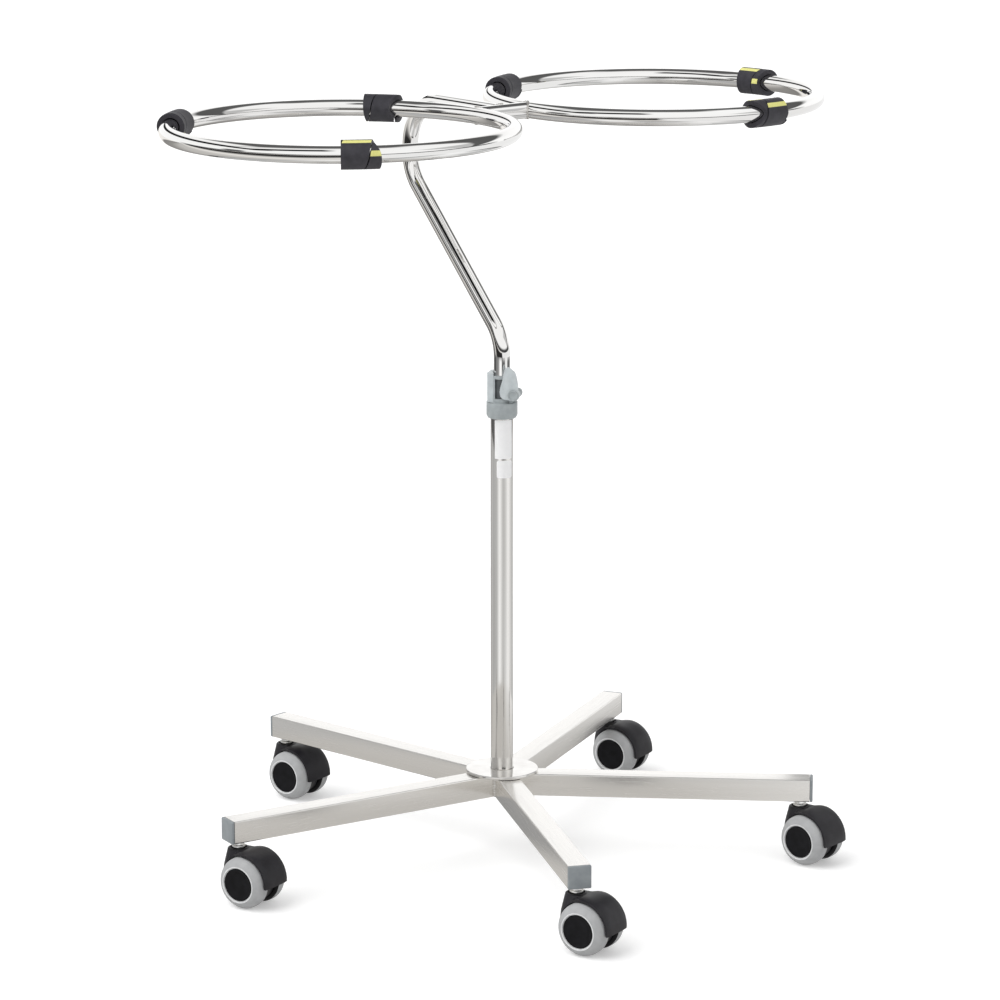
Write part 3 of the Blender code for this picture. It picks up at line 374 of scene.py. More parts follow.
def leg_cap():
    rows = [(LEG_END - PLUG_LENGTH, PLUG_HALF - 0.001), (LEG_END - PLUG_LENGTH + 0.003, PLUG_HALF),
            (CAP_BACK, PLUG_HALF), (CAP_BACK, LEG_HALF - 0.0002), (CAP_BACK + 0.0002, LEG_HALF),
            (CAP_FACE - CAP_EASE, LEG_HALF), (CAP_FACE - CAP_EASE * 0.4, LEG_HALF - CAP_EASE * 0.25),
            (CAP_FACE - CAP_EASE * 0.1, LEG_HALF - CAP_EASE * 0.6), (CAP_FACE, LEG_HALF - CAP_EASE * 1.2)]
    bm = bmesh.new()
    loops = []
    for x, half in rows:
        loops.append([bm.verts.new((x, across, up)) for across, up in square_outline(half, LEG_CORNER)])
    capped(bm, loops)
    return to_mesh(bm, "leg_end_cap", 45.0)


cap_pattern = leg_cap()
for number, place in enumerate(leg_places, start=1):
    mesh = placed(cap_pattern, place)
    dress(f"leg_end_cap_{number}", mesh, "base", [f"leg_cap_{number}"], cap_grey)
print("caps: face", round(CAP_FACE - CAP_BACK, 4), "m thick")

# %% [markdown]
# The foot of the column. A polished disc covers the place where the legs meet, and the column stands in
# it. Both are turned shapes. A lathe of a softened profile gives the fine rounded edge that catches the
# light; a plain cylinder would look cut with scissors.

# %% Foot disc and column
COLUMN_RADIUS = 0.011
COLUMN_BORE = 0.0095
DISC_RADIUS = 0.0355
DISC_EASE = 0.0009
COLUMN_EASE = 0.0004
disc_low, disc_high = levels_of("column_flange")
column_low, column_high = levels_of("column_tube")

disc_profile = softened([(COLUMN_RADIUS + 0.0002, disc_low), (COLUMN_RADIUS + 0.0002, disc_high),
                         (DISC_RADIUS, disc_high), (DISC_RADIUS, disc_low)], DISC_EASE, 4, closed=True)
disc_mesh = lathe("foot_disc", disc_profile, 128)
disc_mesh.transform(Matrix.Translation(axis))
dress("foot_disc", disc_mesh, "base", ["column_flange"], polished_disc)

column_profile = softened([(COLUMN_BORE, column_low), (COLUMN_BORE, column_high), (COLUMN_RADIUS, column_high),
                           (COLUMN_RADIUS, column_low)], COLUMN_EASE, 3, closed=True)
column_mesh = lathe("column_post", column_profile, 128)
column_mesh.transform(Matrix.Translation(axis))
dress("column_post", column_mesh, "base", ["column_tube"], polished_column)
print("column:", round(column_high - column_low, 3), "m tall")

# %% [markdown]
# Two small film labels are wrapped round the column under the clamp. They are left blank. Each is a thin
# closed shell bent to the column's radius, its corners rounded by drawing in the ends of its edge columns.

# %% Labels
LABEL_GAP = 0.00003
LABEL_LIFT = 0.00012
UPPER_LABEL = (0.3990, 0.4370, -38.0, 57.0, 0.0006)
LOWER_LABEL = (0.3800, 0.3972, -27.6, 57.0, 0.0022)
camera_side = math.atan2(CAMERA_FROM_AXIS.y, CAMERA_FROM_AXIS.x)


def label_shell(name, low, high, left, right, corner, steps=40):
    """A label from left to right of the camera's side of the column, in degrees."""
    bm = bmesh.new()
    loops = []
    radius = COLUMN_RADIUS + LABEL_GAP
    width = math.radians(right - left) * radius
    for i in range(steps + 1):
        along = width * 0.5 * (1.0 - math.cos(math.pi * i / steps))
        from_end = min(along, width - along)
        pull = 0.0
        if from_end < corner:
            pull = corner - math.sqrt(corner ** 2 - (corner - from_end) ** 2)
        pull = min(pull, corner - 0.00005)
        turn = camera_side + math.radians(left) + along / radius
        out = Vector((math.cos(turn), math.sin(turn), 0.0))
        places = [(radius, low + pull), (radius, high - pull), (radius + LABEL_LIFT, high - pull),
                  (radius + LABEL_LIFT, low + pull)]
        loops.append([bm.verts.new(axis + out * r + Vector((0.0, 0.0, z))) for r, z in places])
    capped(bm, loops)
    return to_mesh(bm, name)


for name, sizes in (("label_upper", UPPER_LABEL), ("label_lower", LOWER_LABEL)):
    dress(name, label_shell(name, *sizes), "base", finish=label_film)
print("labels: two, blank")

# %% [markdown]
# Now the tubes. A tube follows a path, which is what Geometry Nodes are good at: a path of edges becomes
# a curve, a circle is swept along it, and the result is a mesh. The tree has named inputs for its sizes.
# It also keeps, for each point, where it is on the circle and how far along the tube it is. The drawn
# finish reads that as its grain, so the faint lines run along the tube round every bend.

# %% Geometry Nodes tree for a tube
def tree_socket(tree, name, kind, way="INPUT"):
    return tree.interface.new_socket(name, in_out=way, socket_type="NodeSocket" + kind)


tube_tree = bpy.data.node_groups.new("tube_along_path", "GeometryNodeTree")
for label, kind in (("Path", "Geometry"), ("Tube radius", "Float"), ("Sides", "Int"), ("Finish", "Material")):
    tree_socket(tube_tree, label, kind)
tree_socket(tube_tree, "Tube", "Geometry", "OUTPUT")
start = add(tube_tree, "NodeGroupInput")
curve = add(tube_tree, "GeometryNodeMeshToCurve")
length = add(tube_tree, "GeometryNodeSplineParameter")
keep_length = add(tube_tree, "GeometryNodeCaptureAttribute", domain="POINT")
keep_length.capture_items.new("FLOAT", "Length")
circle = add(tube_tree, "GeometryNodeCurvePrimitiveCircle", mode="RADIUS")
spot = add(tube_tree, "GeometryNodeInputPosition")
keep_spot = add(tube_tree, "GeometryNodeCaptureAttribute", domain="POINT")
keep_spot.capture_items.new("VECTOR", "Spot")
sweep = add(tube_tree, "GeometryNodeCurveToMesh", {"Fill Caps": True})
split = add(tube_tree, "ShaderNodeSeparateXYZ")
shorter = add(tube_tree, "ShaderNodeMath", {1: 0.02}, operation="MULTIPLY")
join = add(tube_tree, "ShaderNodeCombineXYZ")
store = add(tube_tree, "GeometryNodeStoreNamedAttribute", {"Name": "grain"}, data_type="FLOAT_VECTOR", domain="POINT")
smooth = add(tube_tree, "GeometryNodeSetShadeSmooth")
realize = add(tube_tree, "GeometryNodeRealizeInstances")
paint = add(tube_tree, "GeometryNodeSetMaterial")
end = add(tube_tree, "NodeGroupOutput")
wire(tube_tree,
     (start.outputs["Path"], curve.inputs["Mesh"]), (curve.outputs["Curve"], keep_length.inputs["Geometry"]),
     (length.outputs["Length"], keep_length.inputs["Length"]),
     (keep_length.outputs["Geometry"], sweep.inputs["Curve"]),
     (start.outputs["Tube radius"], circle.inputs["Radius"]), (start.outputs["Sides"], circle.inputs["Resolution"]),
     (circle.outputs["Curve"], keep_spot.inputs["Geometry"]), (spot.outputs["Position"], keep_spot.inputs["Spot"]),
     (keep_spot.outputs["Geometry"], sweep.inputs["Profile Curve"]),
     (keep_spot.outputs["Spot"], split.inputs["Vector"]),
     (split.outputs["X"], join.inputs["X"]), (split.outputs["Y"], join.inputs["Y"]),
     (keep_length.outputs["Length"], shorter.inputs[0]), (shorter.outputs["Value"], join.inputs["Z"]),
     (sweep.outputs["Mesh"], store.inputs["Geometry"]), (join.outputs["Vector"], store.inputs["Value"]),
     (store.outputs["Geometry"], smooth.inputs["Geometry"]), (smooth.outputs["Geometry"], realize.inputs["Geometry"]),
     (realize.outputs["Geometry"], paint.inputs["Geometry"]), (start.outputs["Finish"], paint.inputs["Material"]),
     (paint.outputs["Geometry"], end.inputs["Tube"]))
print("tube tree:", len(tube_tree.nodes), "nodes")

# %% [markdown]
# A path is a mesh of edges only. The helper below runs a tree on such a path and keeps what comes out as
# a plain mesh. Values are set by each socket's identifier, before the object is evaluated.

# %% Helpers for paths
def edge_path(points, closed=False):
    edges = [(i, i + 1) for i in range(len(points) - 1)]
    if closed:
        edges.append((len(points) - 1, 0))
    mesh = bpy.data.meshes.new("path")
    mesh.from_pydata([tuple(point) for point in points], edges, [])
    return mesh


def grown(name, path, tree, values):
    """Run a node tree on a path and keep the result as a plain mesh."""
    carrier = bpy.data.objects.new(name, path)
    scene.collection.objects.link(carrier)
    step = carrier.modifiers.new("nodes", "NODES")
    step.node_group = tree
    for item in tree.interface.items_tree:
        if item.in_out == "INPUT" and item.name in values:
            step[item.identifier] = values[item.name]
    graph = bpy.context.evaluated_depsgraph_get()
    mesh = bpy.data.meshes.new_from_object(carrier.evaluated_get(graph))
    bpy.data.objects.remove(carrier)
    mesh.name = name
    return mesh


print("path helpers: edges, and a tree grown on them")

# %% [markdown]
# The mast slides in the column, leans back in a long sweep, stands up again and comes level over the
# column. Its path is a row of corners with a round bend at each, as a tube bender makes it. The level
# bar runs on into the cross tube, where it is welded.

# %% Mast
TUBE_RADIUS = 0.008
BEND_RADIUS = 0.045
MAST_LEAN = 0.141
SWEEP_RISE = 0.146
TOP_RISE = 0.071
BEND_STEPS = 28
BAR_STOP = 0.004
TUBE_SIDES = 64


def bent_path(corners, radius, steps):
    """Points along straight runs that are joined by round bends."""
    points = [corners[0]]
    for before, corner, after in zip(corners, corners[1:], corners[2:]):
        arrive = (corner - before).normalized()
        leave = (after - corner).normalized()
        turn = arrive.angle(leave)
        begin = corner - arrive * (radius * math.tan(turn / 2.0))
        side = (leave - arrive * arrive.dot(leave)).normalized()
        for i in range(steps + 1):
            a = turn * i / steps
            points.append(begin + arrive * (radius * math.sin(a)) + side * (radius * (1.0 - math.cos(a))))
    points.append(corners[-1])
    return points


mast_foot = levels_of("mast_tube")[0]
mast_corners = [axis + Vector(place) for place in (
    (0.0, 0.0, mast_foot), (0.0, 0.0, ring_level - TOP_RISE - SWEEP_RISE),
    (0.0, MAST_LEAN, ring_level - TOP_RISE), (0.0, MAST_LEAN, ring_level), (0.0, BAR_STOP, ring_level))]
mast_path = bent_path(mast_corners, BEND_RADIUS, BEND_STEPS)
tube_values = {"Tube radius": TUBE_RADIUS, "Sides": TUBE_SIDES, "Finish": bright_tube}
mast_mesh = grown("mast_pipe", edge_path(mast_path), tube_tree, tube_values)
dress("mast_pipe", mast_mesh, "mast", ["mast_tube"])
print("mast:", len(mast_mesh.polygons), "faces")

# %% [markdown]
# The rings are the same tube bent into full circles, and a short cross tube joins them. The tubes run a
# little into each other, as they look after welding.

# %% Rings and cross tube
RING_RADIUS = 0.159
RING_OFFSET = 0.1915
RING_STEPS = 192
ring_centres = {}
for hand, sign in (("left", -1.0), ("right", 1.0)):
    centre = axis + Vector((sign * RING_OFFSET, 0.0, ring_level))
    ring_centres[hand] = centre
    seam = 0.0 if hand == "left" else math.pi
    points = []
    for i in range(RING_STEPS):
        a = seam + 2.0 * math.pi * i / RING_STEPS
        points.append(centre + Vector((math.cos(a), math.sin(a), 0.0)) * RING_RADIUS)
    ring_mesh = grown(f"ring_pipe_{hand}", edge_path(points, closed=True), tube_tree, tube_values)
    dress(f"ring_pipe_{hand}", ring_mesh, "mast", [f"ring_{hand}"])
cross_half = RING_OFFSET - RING_RADIUS - TUBE_RADIUS / 2.0
cross_stops = (-cross_half, -cross_half / 3.0, cross_half / 3.0, cross_half)
cross_path = edge_path([axis + Vector((x, 0.0, ring_level)) for x in cross_stops])
cross_mesh = grown("cross_pipe", cross_path, tube_tree, tube_values)
dress("cross_pipe", cross_mesh, "mast", ["ring_bridge"])
print("rings:", round(2.0 * (RING_RADIUS - TUBE_RADIUS), 3), "m inside")

# %% [markdown]
# Weld beads close the joints. A bead is a thin rope of metal with a ripple for every drop that the welder
# added. A second tree makes it: the path is cut into even steps, the rope's thickness swells and sinks
# along it, and a small circle is swept along. It follows any joint, straight or saddle-shaped.

# %% Geometry Nodes tree for a weld bead
weld_tree = bpy.data.node_groups.new("weld_bead", "GeometryNodeTree")
for label, kind in (("Path", "Geometry"), ("Bead radius", "Float"), ("Step", "Float"), ("Ripple", "Float"),
                    ("Finish", "Material")):
    tree_socket(weld_tree, label, kind)
tree_socket(weld_tree, "Bead", "Geometry", "OUTPUT")
start = add(weld_tree, "NodeGroupInput")
curve = add(weld_tree, "GeometryNodeMeshToCurve")
even = add(weld_tree, "GeometryNodeResampleCurve", mode="LENGTH")
count = add(weld_tree, "GeometryNodeInputIndex")
wave = add(weld_tree, "ShaderNodeMath", {1: math.pi / 2.0}, operation="MULTIPLY")
swell = add(weld_tree, "ShaderNodeMath", operation="SINE")
depth = add(weld_tree, "ShaderNodeMath", operation="MULTIPLY")
thick = add(weld_tree, "ShaderNodeMath", {1: 1.0}, operation="ADD")
set_thick = add(weld_tree, "GeometryNodeSetCurveRadius")
circle = add(weld_tree, "GeometryNodeCurvePrimitiveCircle", {"Resolution": 12}, mode="RADIUS")
thick_back = add(weld_tree, "GeometryNodeInputRadius")
sweep = add(weld_tree, "GeometryNodeCurveToMesh", {"Fill Caps": True})
smooth = add(weld_tree, "GeometryNodeSetShadeSmooth")
realize = add(weld_tree, "GeometryNodeRealizeInstances")
paint = add(weld_tree, "GeometryNodeSetMaterial")
end = add(weld_tree, "NodeGroupOutput")
wire(weld_tree,
     (start.outputs["Path"], curve.inputs["Mesh"]), (curve.outputs["Curve"], even.inputs["Curve"]),
     (start.outputs["Step"], even.inputs["Length"]), (count.outputs["Index"], wave.inputs[0]),
     (wave.outputs["Value"], swell.inputs[0]), (swell.outputs["Value"], depth.inputs[0]),
     (start.outputs["Ripple"], depth.inputs[1]), (depth.outputs["Value"], thick.inputs[0]),
     (even.outputs["Curve"], set_thick.inputs["Curve"]), (thick.outputs["Value"], set_thick.inputs["Radius"]),
     (set_thick.outputs["Curve"], sweep.inputs["Curve"]), (start.outputs["Bead radius"], circle.inputs["Radius"]),
     (circle.outputs["Curve"], sweep.inputs["Profile Curve"]), (thick_back.outputs["Radius"], sweep.inputs["Scale"]),
     (sweep.outputs["Mesh"], smooth.inputs["Geometry"]),
     (smooth.outputs["Geometry"], realize.inputs["Geometry"]),
     (realize.outputs["Geometry"], paint.inputs["Geometry"]),
     (start.outputs["Finish"], paint.inputs["Material"]), (paint.outputs["Geometry"], end.inputs["Bead"]))
print("weld tree:", len(weld_tree.nodes), "nodes")

# %% [markdown]
# The joints are where two equal tubes meet at a right angle, which is a saddle curve. It is found by going
# round the tube that ends, and asking how far the other tube's surface is at each angle.

# %% Weld beads
SADDLE_STEPS = 72
saddle_turns = [2.0 * math.pi * i / SADDLE_STEPS for i in range(SADDLE_STEPS)]
weld_values = {"Bead radius": 0.0010, "Step": 0.0005, "Ripple": 0.13, "Finish": weld_steel}
leg_weld_values = {"Bead radius": 0.0016, "Step": 0.0006, "Ripple": 0.10, "Finish": weld_steel}
for hand, sign in (("left", -1.0), ("right", 1.0)):
    points = []
    for a in saddle_turns:
        side = TUBE_RADIUS * math.cos(a)
        reach = math.sqrt((RING_RADIUS + abs(side)) ** 2 - side ** 2)
        points.append(axis + Vector((sign * (RING_OFFSET - reach), side, ring_level + TUBE_RADIUS * math.sin(a))))
    bead = grown(f"ring_weld_{hand}", edge_path(points, closed=True), weld_tree, weld_values)
    dress(f"ring_weld_{hand}", bead, "mast")
points = []
for a in saddle_turns:
    side = TUBE_RADIUS * math.cos(a)
    points.append(axis + Vector((side, abs(side), ring_level + TUBE_RADIUS * math.sin(a))))
bead = grown("bar_weld", edge_path(points, closed=True), weld_tree, weld_values)
dress("bar_weld", bead, "mast")

corner_reach = LEG_HALF / math.sin(math.pi / LEG_COUNT)
for number, turn in enumerate(leg_turns, start=1):
    between = turn + math.pi / LEG_COUNT
    foot = axis + Vector((math.cos(between), math.sin(between), 0.0)) * (corner_reach + 0.0006)
    run = [foot + Vector((0.0, 0.0, leg_level + z)) for z in (-LEG_HALF + 0.0012, 0.0, LEG_HALF - 0.0018)]
    bead = grown(f"leg_weld_{number}", edge_path(run), weld_tree, leg_weld_values)
    dress(f"leg_weld_{number}", bead, "base")
print("welds: three at the rings,", LEG_COUNT, "between the legs")

# %% [markdown]
# The sleeves are pieces of garden-hose rubber, cut in a spiral so that they can be wound on to a ring. The
# winding leaves one slit that runs round each sleeve, ends that gape where the cut meets the edge, and a
# yellow line that no longer meets itself from one turn to the next. A plain tube with a groove would miss
# all that. So each sleeve is built as the strip that it is: at every angle round the ring's tube, the strip
# lies between the slit one turn back and the slit here, trimmed by the two ends.

# %% Rubber finish with the yellow line
LINE_HALF = 0.0024
LINE_FADE = 0.0002
sleeve_rubber = surface("sleeve_rubber", (0.024, 0.023, 0.030), (0.036, 0.034, 0.043), (0.46, 0.62), 1500.0, 150.0,
                        0.00006)
rubber_tree = sleeve_rubber.node_tree
rubber_shader = rubber_tree.nodes["Principled BSDF"]
plain = rubber_shader.inputs["Base Color"].links[0].from_socket
from_line = add(rubber_tree, "ShaderNodeAttribute", attribute_name="from_line").outputs["Fac"]
on_line = add(rubber_tree, "ShaderNodeMapRange", {"From Min": LINE_HALF, "From Max": LINE_HALF + LINE_FADE,
                                                  "To Min": 1.0, "To Max": 0.0})
worn = add(rubber_tree, "ShaderNodeTexNoise", {"Scale": 420.0, "Detail": 3.0})
line_colour = two_tones(rubber_tree, worn.outputs["Fac"], (0.62, 0.60, 0.17), (0.86, 0.84, 0.30), 0.3, 0.6)
mix = add(rubber_tree, "ShaderNodeMix", data_type="RGBA")
wire(rubber_tree, (from_line, on_line.inputs["Value"]), (on_line.outputs["Result"], mix.inputs["Factor"]),
     (plain, mix.inputs[6]), (line_colour, mix.inputs[7]), (mix.outputs[2], rubber_shader.inputs["Base Color"]))
print("yellow line:", round(2000.0 * LINE_HALF, 1), "mm wide")

# %% [markdown]
# Each sleeve has its own small story: which way it faces, where its slit crosses the side that is seen, where
# its line is, and how deep its ends are bitten. Angles round the tube start at the ring's outer side and rise
# over the top.

# %% Sleeve sizes
SLEEVE_INNER = 0.0085
SLEEVE_OUTER = 0.0132
SLEEVE_PITCH = 0.026
SLIT_HALF = 0.0005
SLIT_SWAY = 0.0017
SLEEVE_STEPS = 72
LINE_SLIP = math.radians(302.0)
LINE_DEPTH = 0.0012
MIN_STRIP = 0.0012
STRIP_ROWS = 6
STRIP_CORNER = 0.0007
BITE_SPREAD = math.radians(52.0)
SLEEVES = {
    "left_1": {"long": 0.034, "at": 38.5, "faces": 180.0, "slit": 0.0090, "line": 20.0,
               "near": (0.0065, 172.0), "far": (0.002, 250.0)},
    "left_2": {"long": 0.034, "at": 127.7, "faces": 100.0, "slit": 0.0040, "line": -30.0,
               "near": (0.003, 60.0), "far": (0.003, 300.0)},
    "left_3": {"long": 0.034, "at": 238.9, "faces": 0.0, "slit": 0.0065, "line": 69.0,
               "near": (0.0, 0.0), "far": (0.0065, 82.0)},
    "right_1": {"long": 0.034, "at": 7.6, "faces": 180.0, "slit": -0.0036, "line": 171.0,
                "near": (0.0048, 176.0), "far": (0.001, 180.0)},
    "right_2": {"long": 0.034, "at": 117.7, "faces": 100.0, "slit": 0.0060, "line": -8.0,
                "near": (0.002, 60.0), "far": (0.003, 300.0)},
    "right_3": {"long": 0.038, "at": 270.1, "faces": 0.0, "slit": -0.0075, "line": 401.0,
                "near": (0.0100, 8.0), "far": (0.0015, 30.0)},
}
print("sleeves planned:", ", ".join(SLEEVES))

# %% [markdown]
# The strip's two edges are curves along the ring, one value for each angle round the tube, also past a full
# turn. Where they leave room for the strip, its cross-section is drawn with soft corners, and the sections are
# joined. A Screw modifier could wind a strip too, but not with ends that are bitten back.

# %% Wind the sleeves
def bite(end, turn):
    """How far an end is bitten back at an angle: deepest at its own angle, nothing on the far side."""
    depth, at = end
    off = math.remainder(turn - math.radians(at), 2.0 * math.pi)
    return depth * math.exp(-((off / BITE_SPREAD) ** 2))


def strip_edges(facts, turn):
    """Where the strip starts and ends along the ring at an unwound angle."""
    def slit(angle):
        off = angle - math.radians(facts["faces"])
        return facts["slit"] + SLEEVE_PITCH * off / (2.0 * math.pi) - SLIT_SWAY * math.sin(off)

    half = facts["long"] / 2.0
    near = max(-half + bite(facts["near"], turn), slit(turn - 2.0 * math.pi) + SLIT_HALF)
    far = min(half - bite(facts["far"], turn), slit(turn) - SLIT_HALF)
    return near, far


def strip_section(near, far):
    """Outline of the strip in (along, out from the tube's middle), with soft corners."""
    inner, outer = SLEEVE_INNER, SLEEVE_OUTER
    bottom = [(near + (far - near) * k / STRIP_ROWS, inner) for k in range(STRIP_ROWS + 1)]
    top = [(far - (far - near) * k / STRIP_ROWS, outer) for k in range(STRIP_ROWS + 1)]
    corner = min(STRIP_CORNER, (far - near) * 0.3)
    bottom_run = [(near + corner, inner)] + bottom[1:-1] + [(far - corner, inner)]
    top_run = [(far - corner, outer)] + top[1:-1] + [(near + corner, outer)]
    far_side = softened([(far - corner, inner), (far, inner), (far, outer), (far - corner, outer)], corner)
    near_side = softened([(near + corner, outer), (near, outer), (near, inner), (near + corner, inner)], corner)
    return bottom_run + far_side[1:-1] + top_run + near_side[1:-1]


def sleeve_strip(name, facts, centre):
    ring_turn = math.radians(facts["at"])
    turns = [2.0 * math.pi * i / SLEEVE_STEPS for i in range(-4 * SLEEVE_STEPS, 5 * SLEEVE_STEPS)]
    kept = [a for a in turns if strip_edges(facts, a)[1] - strip_edges(facts, a)[0] > MIN_STRIP]
    bm = bmesh.new()
    line = bm.verts.layers.float.new("from_line")
    loops = []
    for a in kept:
        loop = []
        off_line = math.remainder(a - math.radians(facts["line"]), LINE_SLIP)
        for along, out in strip_section(*strip_edges(facts, a)):
            place = ring_turn + along / RING_RADIUS
            radial = Vector((math.cos(place), math.sin(place), 0.0))
            spot = centre + radial * (RING_RADIUS + out * math.cos(a)) + Vector((0.0, 0.0, out * math.sin(a)))
            vertex = bm.verts.new(spot)
            vertex[line] = abs(off_line) * SLEEVE_OUTER if out > SLEEVE_OUTER - LINE_DEPTH else 1.0
            loop.append(vertex)
        loops.append(loop)
    capped(bm, loops)
    return to_mesh(bm, name, 55.0)


for name, facts in SLEEVES.items():
    mesh = sleeve_strip(f"rubber_sleeve_{name}", facts, ring_centres[name.split("_")[0]])
    dress(f"rubber_sleeve_{name}", mesh, "mast", [f"sleeve_{name}"], sleeve_rubber)
print("sleeves:", len(SLEEVES), "wound strips")

# %% [markdown]
# The clamp is three mouldings. Its solids already have the right form, so a copy of each is made: the loose
# triangles are merged, flat areas are joined into single faces, and the sharp edges are rounded by a Bevel.
# A moulded edge always has a small radius, and that radius is what makes it read as plastic. The handle and
# the tab beside it are shown in a paler grey than the collar: painted light, for the lamp on the upper left.

# %% Helpers for moulded pieces
def ease_edges(work, width, limit):
    """Round the edges of a work object that are sharper than a limit."""
    ease = work.modifiers.new("ease", "BEVEL")
    ease.width = width
    ease.segments = 3
    ease.limit_method = "ANGLE"
    ease.angle_limit = math.radians(limit)


def worked_out(work, sharp):
    """The mesh that a work object's modifiers give, smooth, with its crisp edges marked."""
    graph = bpy.context.evaluated_depsgraph_get()
    mesh = bpy.data.meshes.new_from_object(work.evaluated_get(graph))
    mesh.shade_smooth()
    mesh.set_sharp_from_angle(angle=math.radians(sharp))
    return mesh


def eased_copy(node, name, width):
    """A copy of a solid with its crisp edges rounded."""
    bm = bmesh.new()
    bm.from_mesh(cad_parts[node].data)
    bmesh.ops.remove_doubles(bm, verts=bm.verts, dist=0.000005)
    bmesh.ops.dissolve_limit(bm, angle_limit=math.radians(1.0), verts=bm.verts, edges=bm.edges)
    mesh = bpy.data.meshes.new(name)
    bm.to_mesh(mesh)
    bm.free()
    work = bpy.data.objects.new(name, mesh)
    scene.collection.objects.link(work)
    ease_edges(work, width, 32.0)
    result = worked_out(work, 35.0)
    bpy.data.objects.remove(work)
    result.name = name
    return result


print("moulding helpers: ease the edges, work out, copy a solid")

# %% [markdown]
# The collar stays with the base. The handle turns on its pin, so it is a body of its own. The tab is part of
# the collar's solid, so its paler grey, which is painted light, is a second finish on the faces beyond the handle.

# %% Clamp body and handle
MOULDED_EDGE = 0.0006
NUT_EDGE = 0.0004
CLAMP_TURN = math.radians(-54.5)
TAB_FROM = -0.0060
TAB_ABOVE = 0.4548
body_mesh = eased_copy("clamp_collar", "clamp_body", MOULDED_EDGE)
dress("clamp_body", body_mesh, "base", ["clamp_collar"], clamp_grey)
body_mesh.materials.append(painted_lit_grey)
# painted light: faces of the tab, beyond the handle and high up, get the paler grey
turned_back = Matrix.Rotation(-CLAMP_TURN, 3, "Z")
for face in body_mesh.polygons:
    if (turned_back @ (face.center - axis)).x < TAB_FROM and face.center.z > TAB_ABOVE:
        face.material_index = 1
handle_mesh = eased_copy("clamp_lever", "clamp_handle", MOULDED_EDGE)
dress("clamp_handle", handle_mesh, "clamp_lever", ["clamp_lever"], painted_lit_grey)
nut_mesh = eased_copy("clamp_nut", "pin_nut", NUT_EDGE)
dress("pin_nut", nut_mesh, "base", ["clamp_nut"], zinc_fitting)
print("clamp: body, handle and nut eased")

# %% [markdown]
# Behind the clamp's window lies a thin plastic liner in front of the mast, which hides the bright mast there. It
# is a piece of a tube, bent from a strip: rows of points at two radii, skinned into a closed shell. Its dark grey
# is painted shade, for the shade deep in the window.

# %% Clamp liner
LINER_INNER = 0.0082
LINER_OUTER = 0.0085
LINER_LOW = 0.4566
LINER_HIGH = 0.4790
LINER_HALF_TURN = 48.0
LINER_STEPS = 24
LINER_EDGES = ((LINER_INNER, LINER_LOW), (LINER_OUTER, LINER_LOW), (LINER_OUTER, LINER_HIGH),
               (LINER_INNER, LINER_HIGH))
# painted shade: the liner's dark grey stands for the shade deep in the clamp's window
liner_shade_grey = surface("liner_shade_grey", (0.085, 0.095, 0.10), (0.12, 0.13, 0.135), (0.45, 0.60), 1400.0, 160.0, 0.00004)
bm = bmesh.new()
loops = []
for i in range(LINER_STEPS + 1):
    turn = CLAMP_TURN + math.radians(-90.0 - LINER_HALF_TURN + 2.0 * LINER_HALF_TURN * i / LINER_STEPS)
    out = Vector((math.cos(turn), math.sin(turn), 0.0))
    loops.append([bm.verts.new(axis + out * r + Vector((0.0, 0.0, z))) for r, z in LINER_EDGES])
capped(bm, loops)
dress("clamp_liner", to_mesh(bm, "clamp_liner"), "base", finish=liner_shade_grey)
print("liner:", round(1000.0 * (LINER_HIGH - LINER_LOW), 1), "mm tall")

# %% [markdown]
# The pin's head is a round button with a raised rim and a sunk middle. It is turned on the lathe, then laid
# along the line of the pin.

# %% Clamp pin
PIN_REACH = 0.0149
PIN_RADIUS = 0.002
PIN_END = 0.0078
HEAD_RADIUS = 0.0052
HEAD_FOOT = 0.0141
HEAD_TOP = 0.0161
head = softened([(0.0, -HEAD_TOP + 0.0007), (HEAD_RADIUS - 0.0014, -HEAD_TOP + 0.0007),
                 (HEAD_RADIUS - 0.0012, -HEAD_TOP), (HEAD_RADIUS, -HEAD_TOP + 0.0004), (HEAD_RADIUS, -HEAD_FOOT),
                 (PIN_RADIUS, -HEAD_FOOT), (PIN_RADIUS, PIN_END), (0.0, PIN_END)], 0.0004, 3)
pin_mesh = lathe("clamp_button", head, 48)
pin_height = Vector((0.0, 0.0, middle_of("clamp_pin").z))
pin_mesh.transform(Matrix.Translation(axis + pin_height) @ Matrix.Rotation(CLAMP_TURN, 4, "Z")
                   @ Matrix.Translation((PIN_REACH, 0.0, 0.0)) @ Matrix.Rotation(math.radians(-90.0), 4, "X"))
dress("clamp_button", pin_mesh, "base", ["clamp_pin"], clamp_grey)
print("pin head:", round(2000.0 * HEAD_RADIUS, 1), "mm across")

# %% [markdown]
# The castors. They come to rest at slightly different headings, but all five are alike, so one set of meshes
# is made about the swivel's axis, with the trailing side along X, and copied to each stem. The hood is four
# forms grown together: a band over the wheels that narrows toward the front, a cone-shaped nose about the
# stem, a shoulder that fills the dip between those two, and a web between the wheels.

# %% Forms of the castor hood
WHEEL_RADIUS = 0.025
AXLE_HEIGHT = 0.025
TRAIL = 0.016
POCKET_RADIUS = 0.026
HOOD_RADIUS = 0.029
HOOD_DROP = 0.001
HOOD_WIDE = 0.034
HOOD_NARROW = 0.019
HOOD_TOP = 0.054
TAIL = math.radians(-4.0)
FULL = math.radians(75.0)
FRONT = math.radians(128.0)
WEB_HALF = 0.006
WEB_RADIUS = 0.021
RECESS_RADIUS = 0.008
RECESS_DEPTH = 0.0012
NOSE = ((0.0, AXLE_HEIGHT), (0.0155, AXLE_HEIGHT), (0.0142, 0.037), (0.0104, 0.0532), (0.0094, HOOD_TOP),
        (0.0, HOOD_TOP))
BAND_STEPS = 44
BAND_ROWS = 16


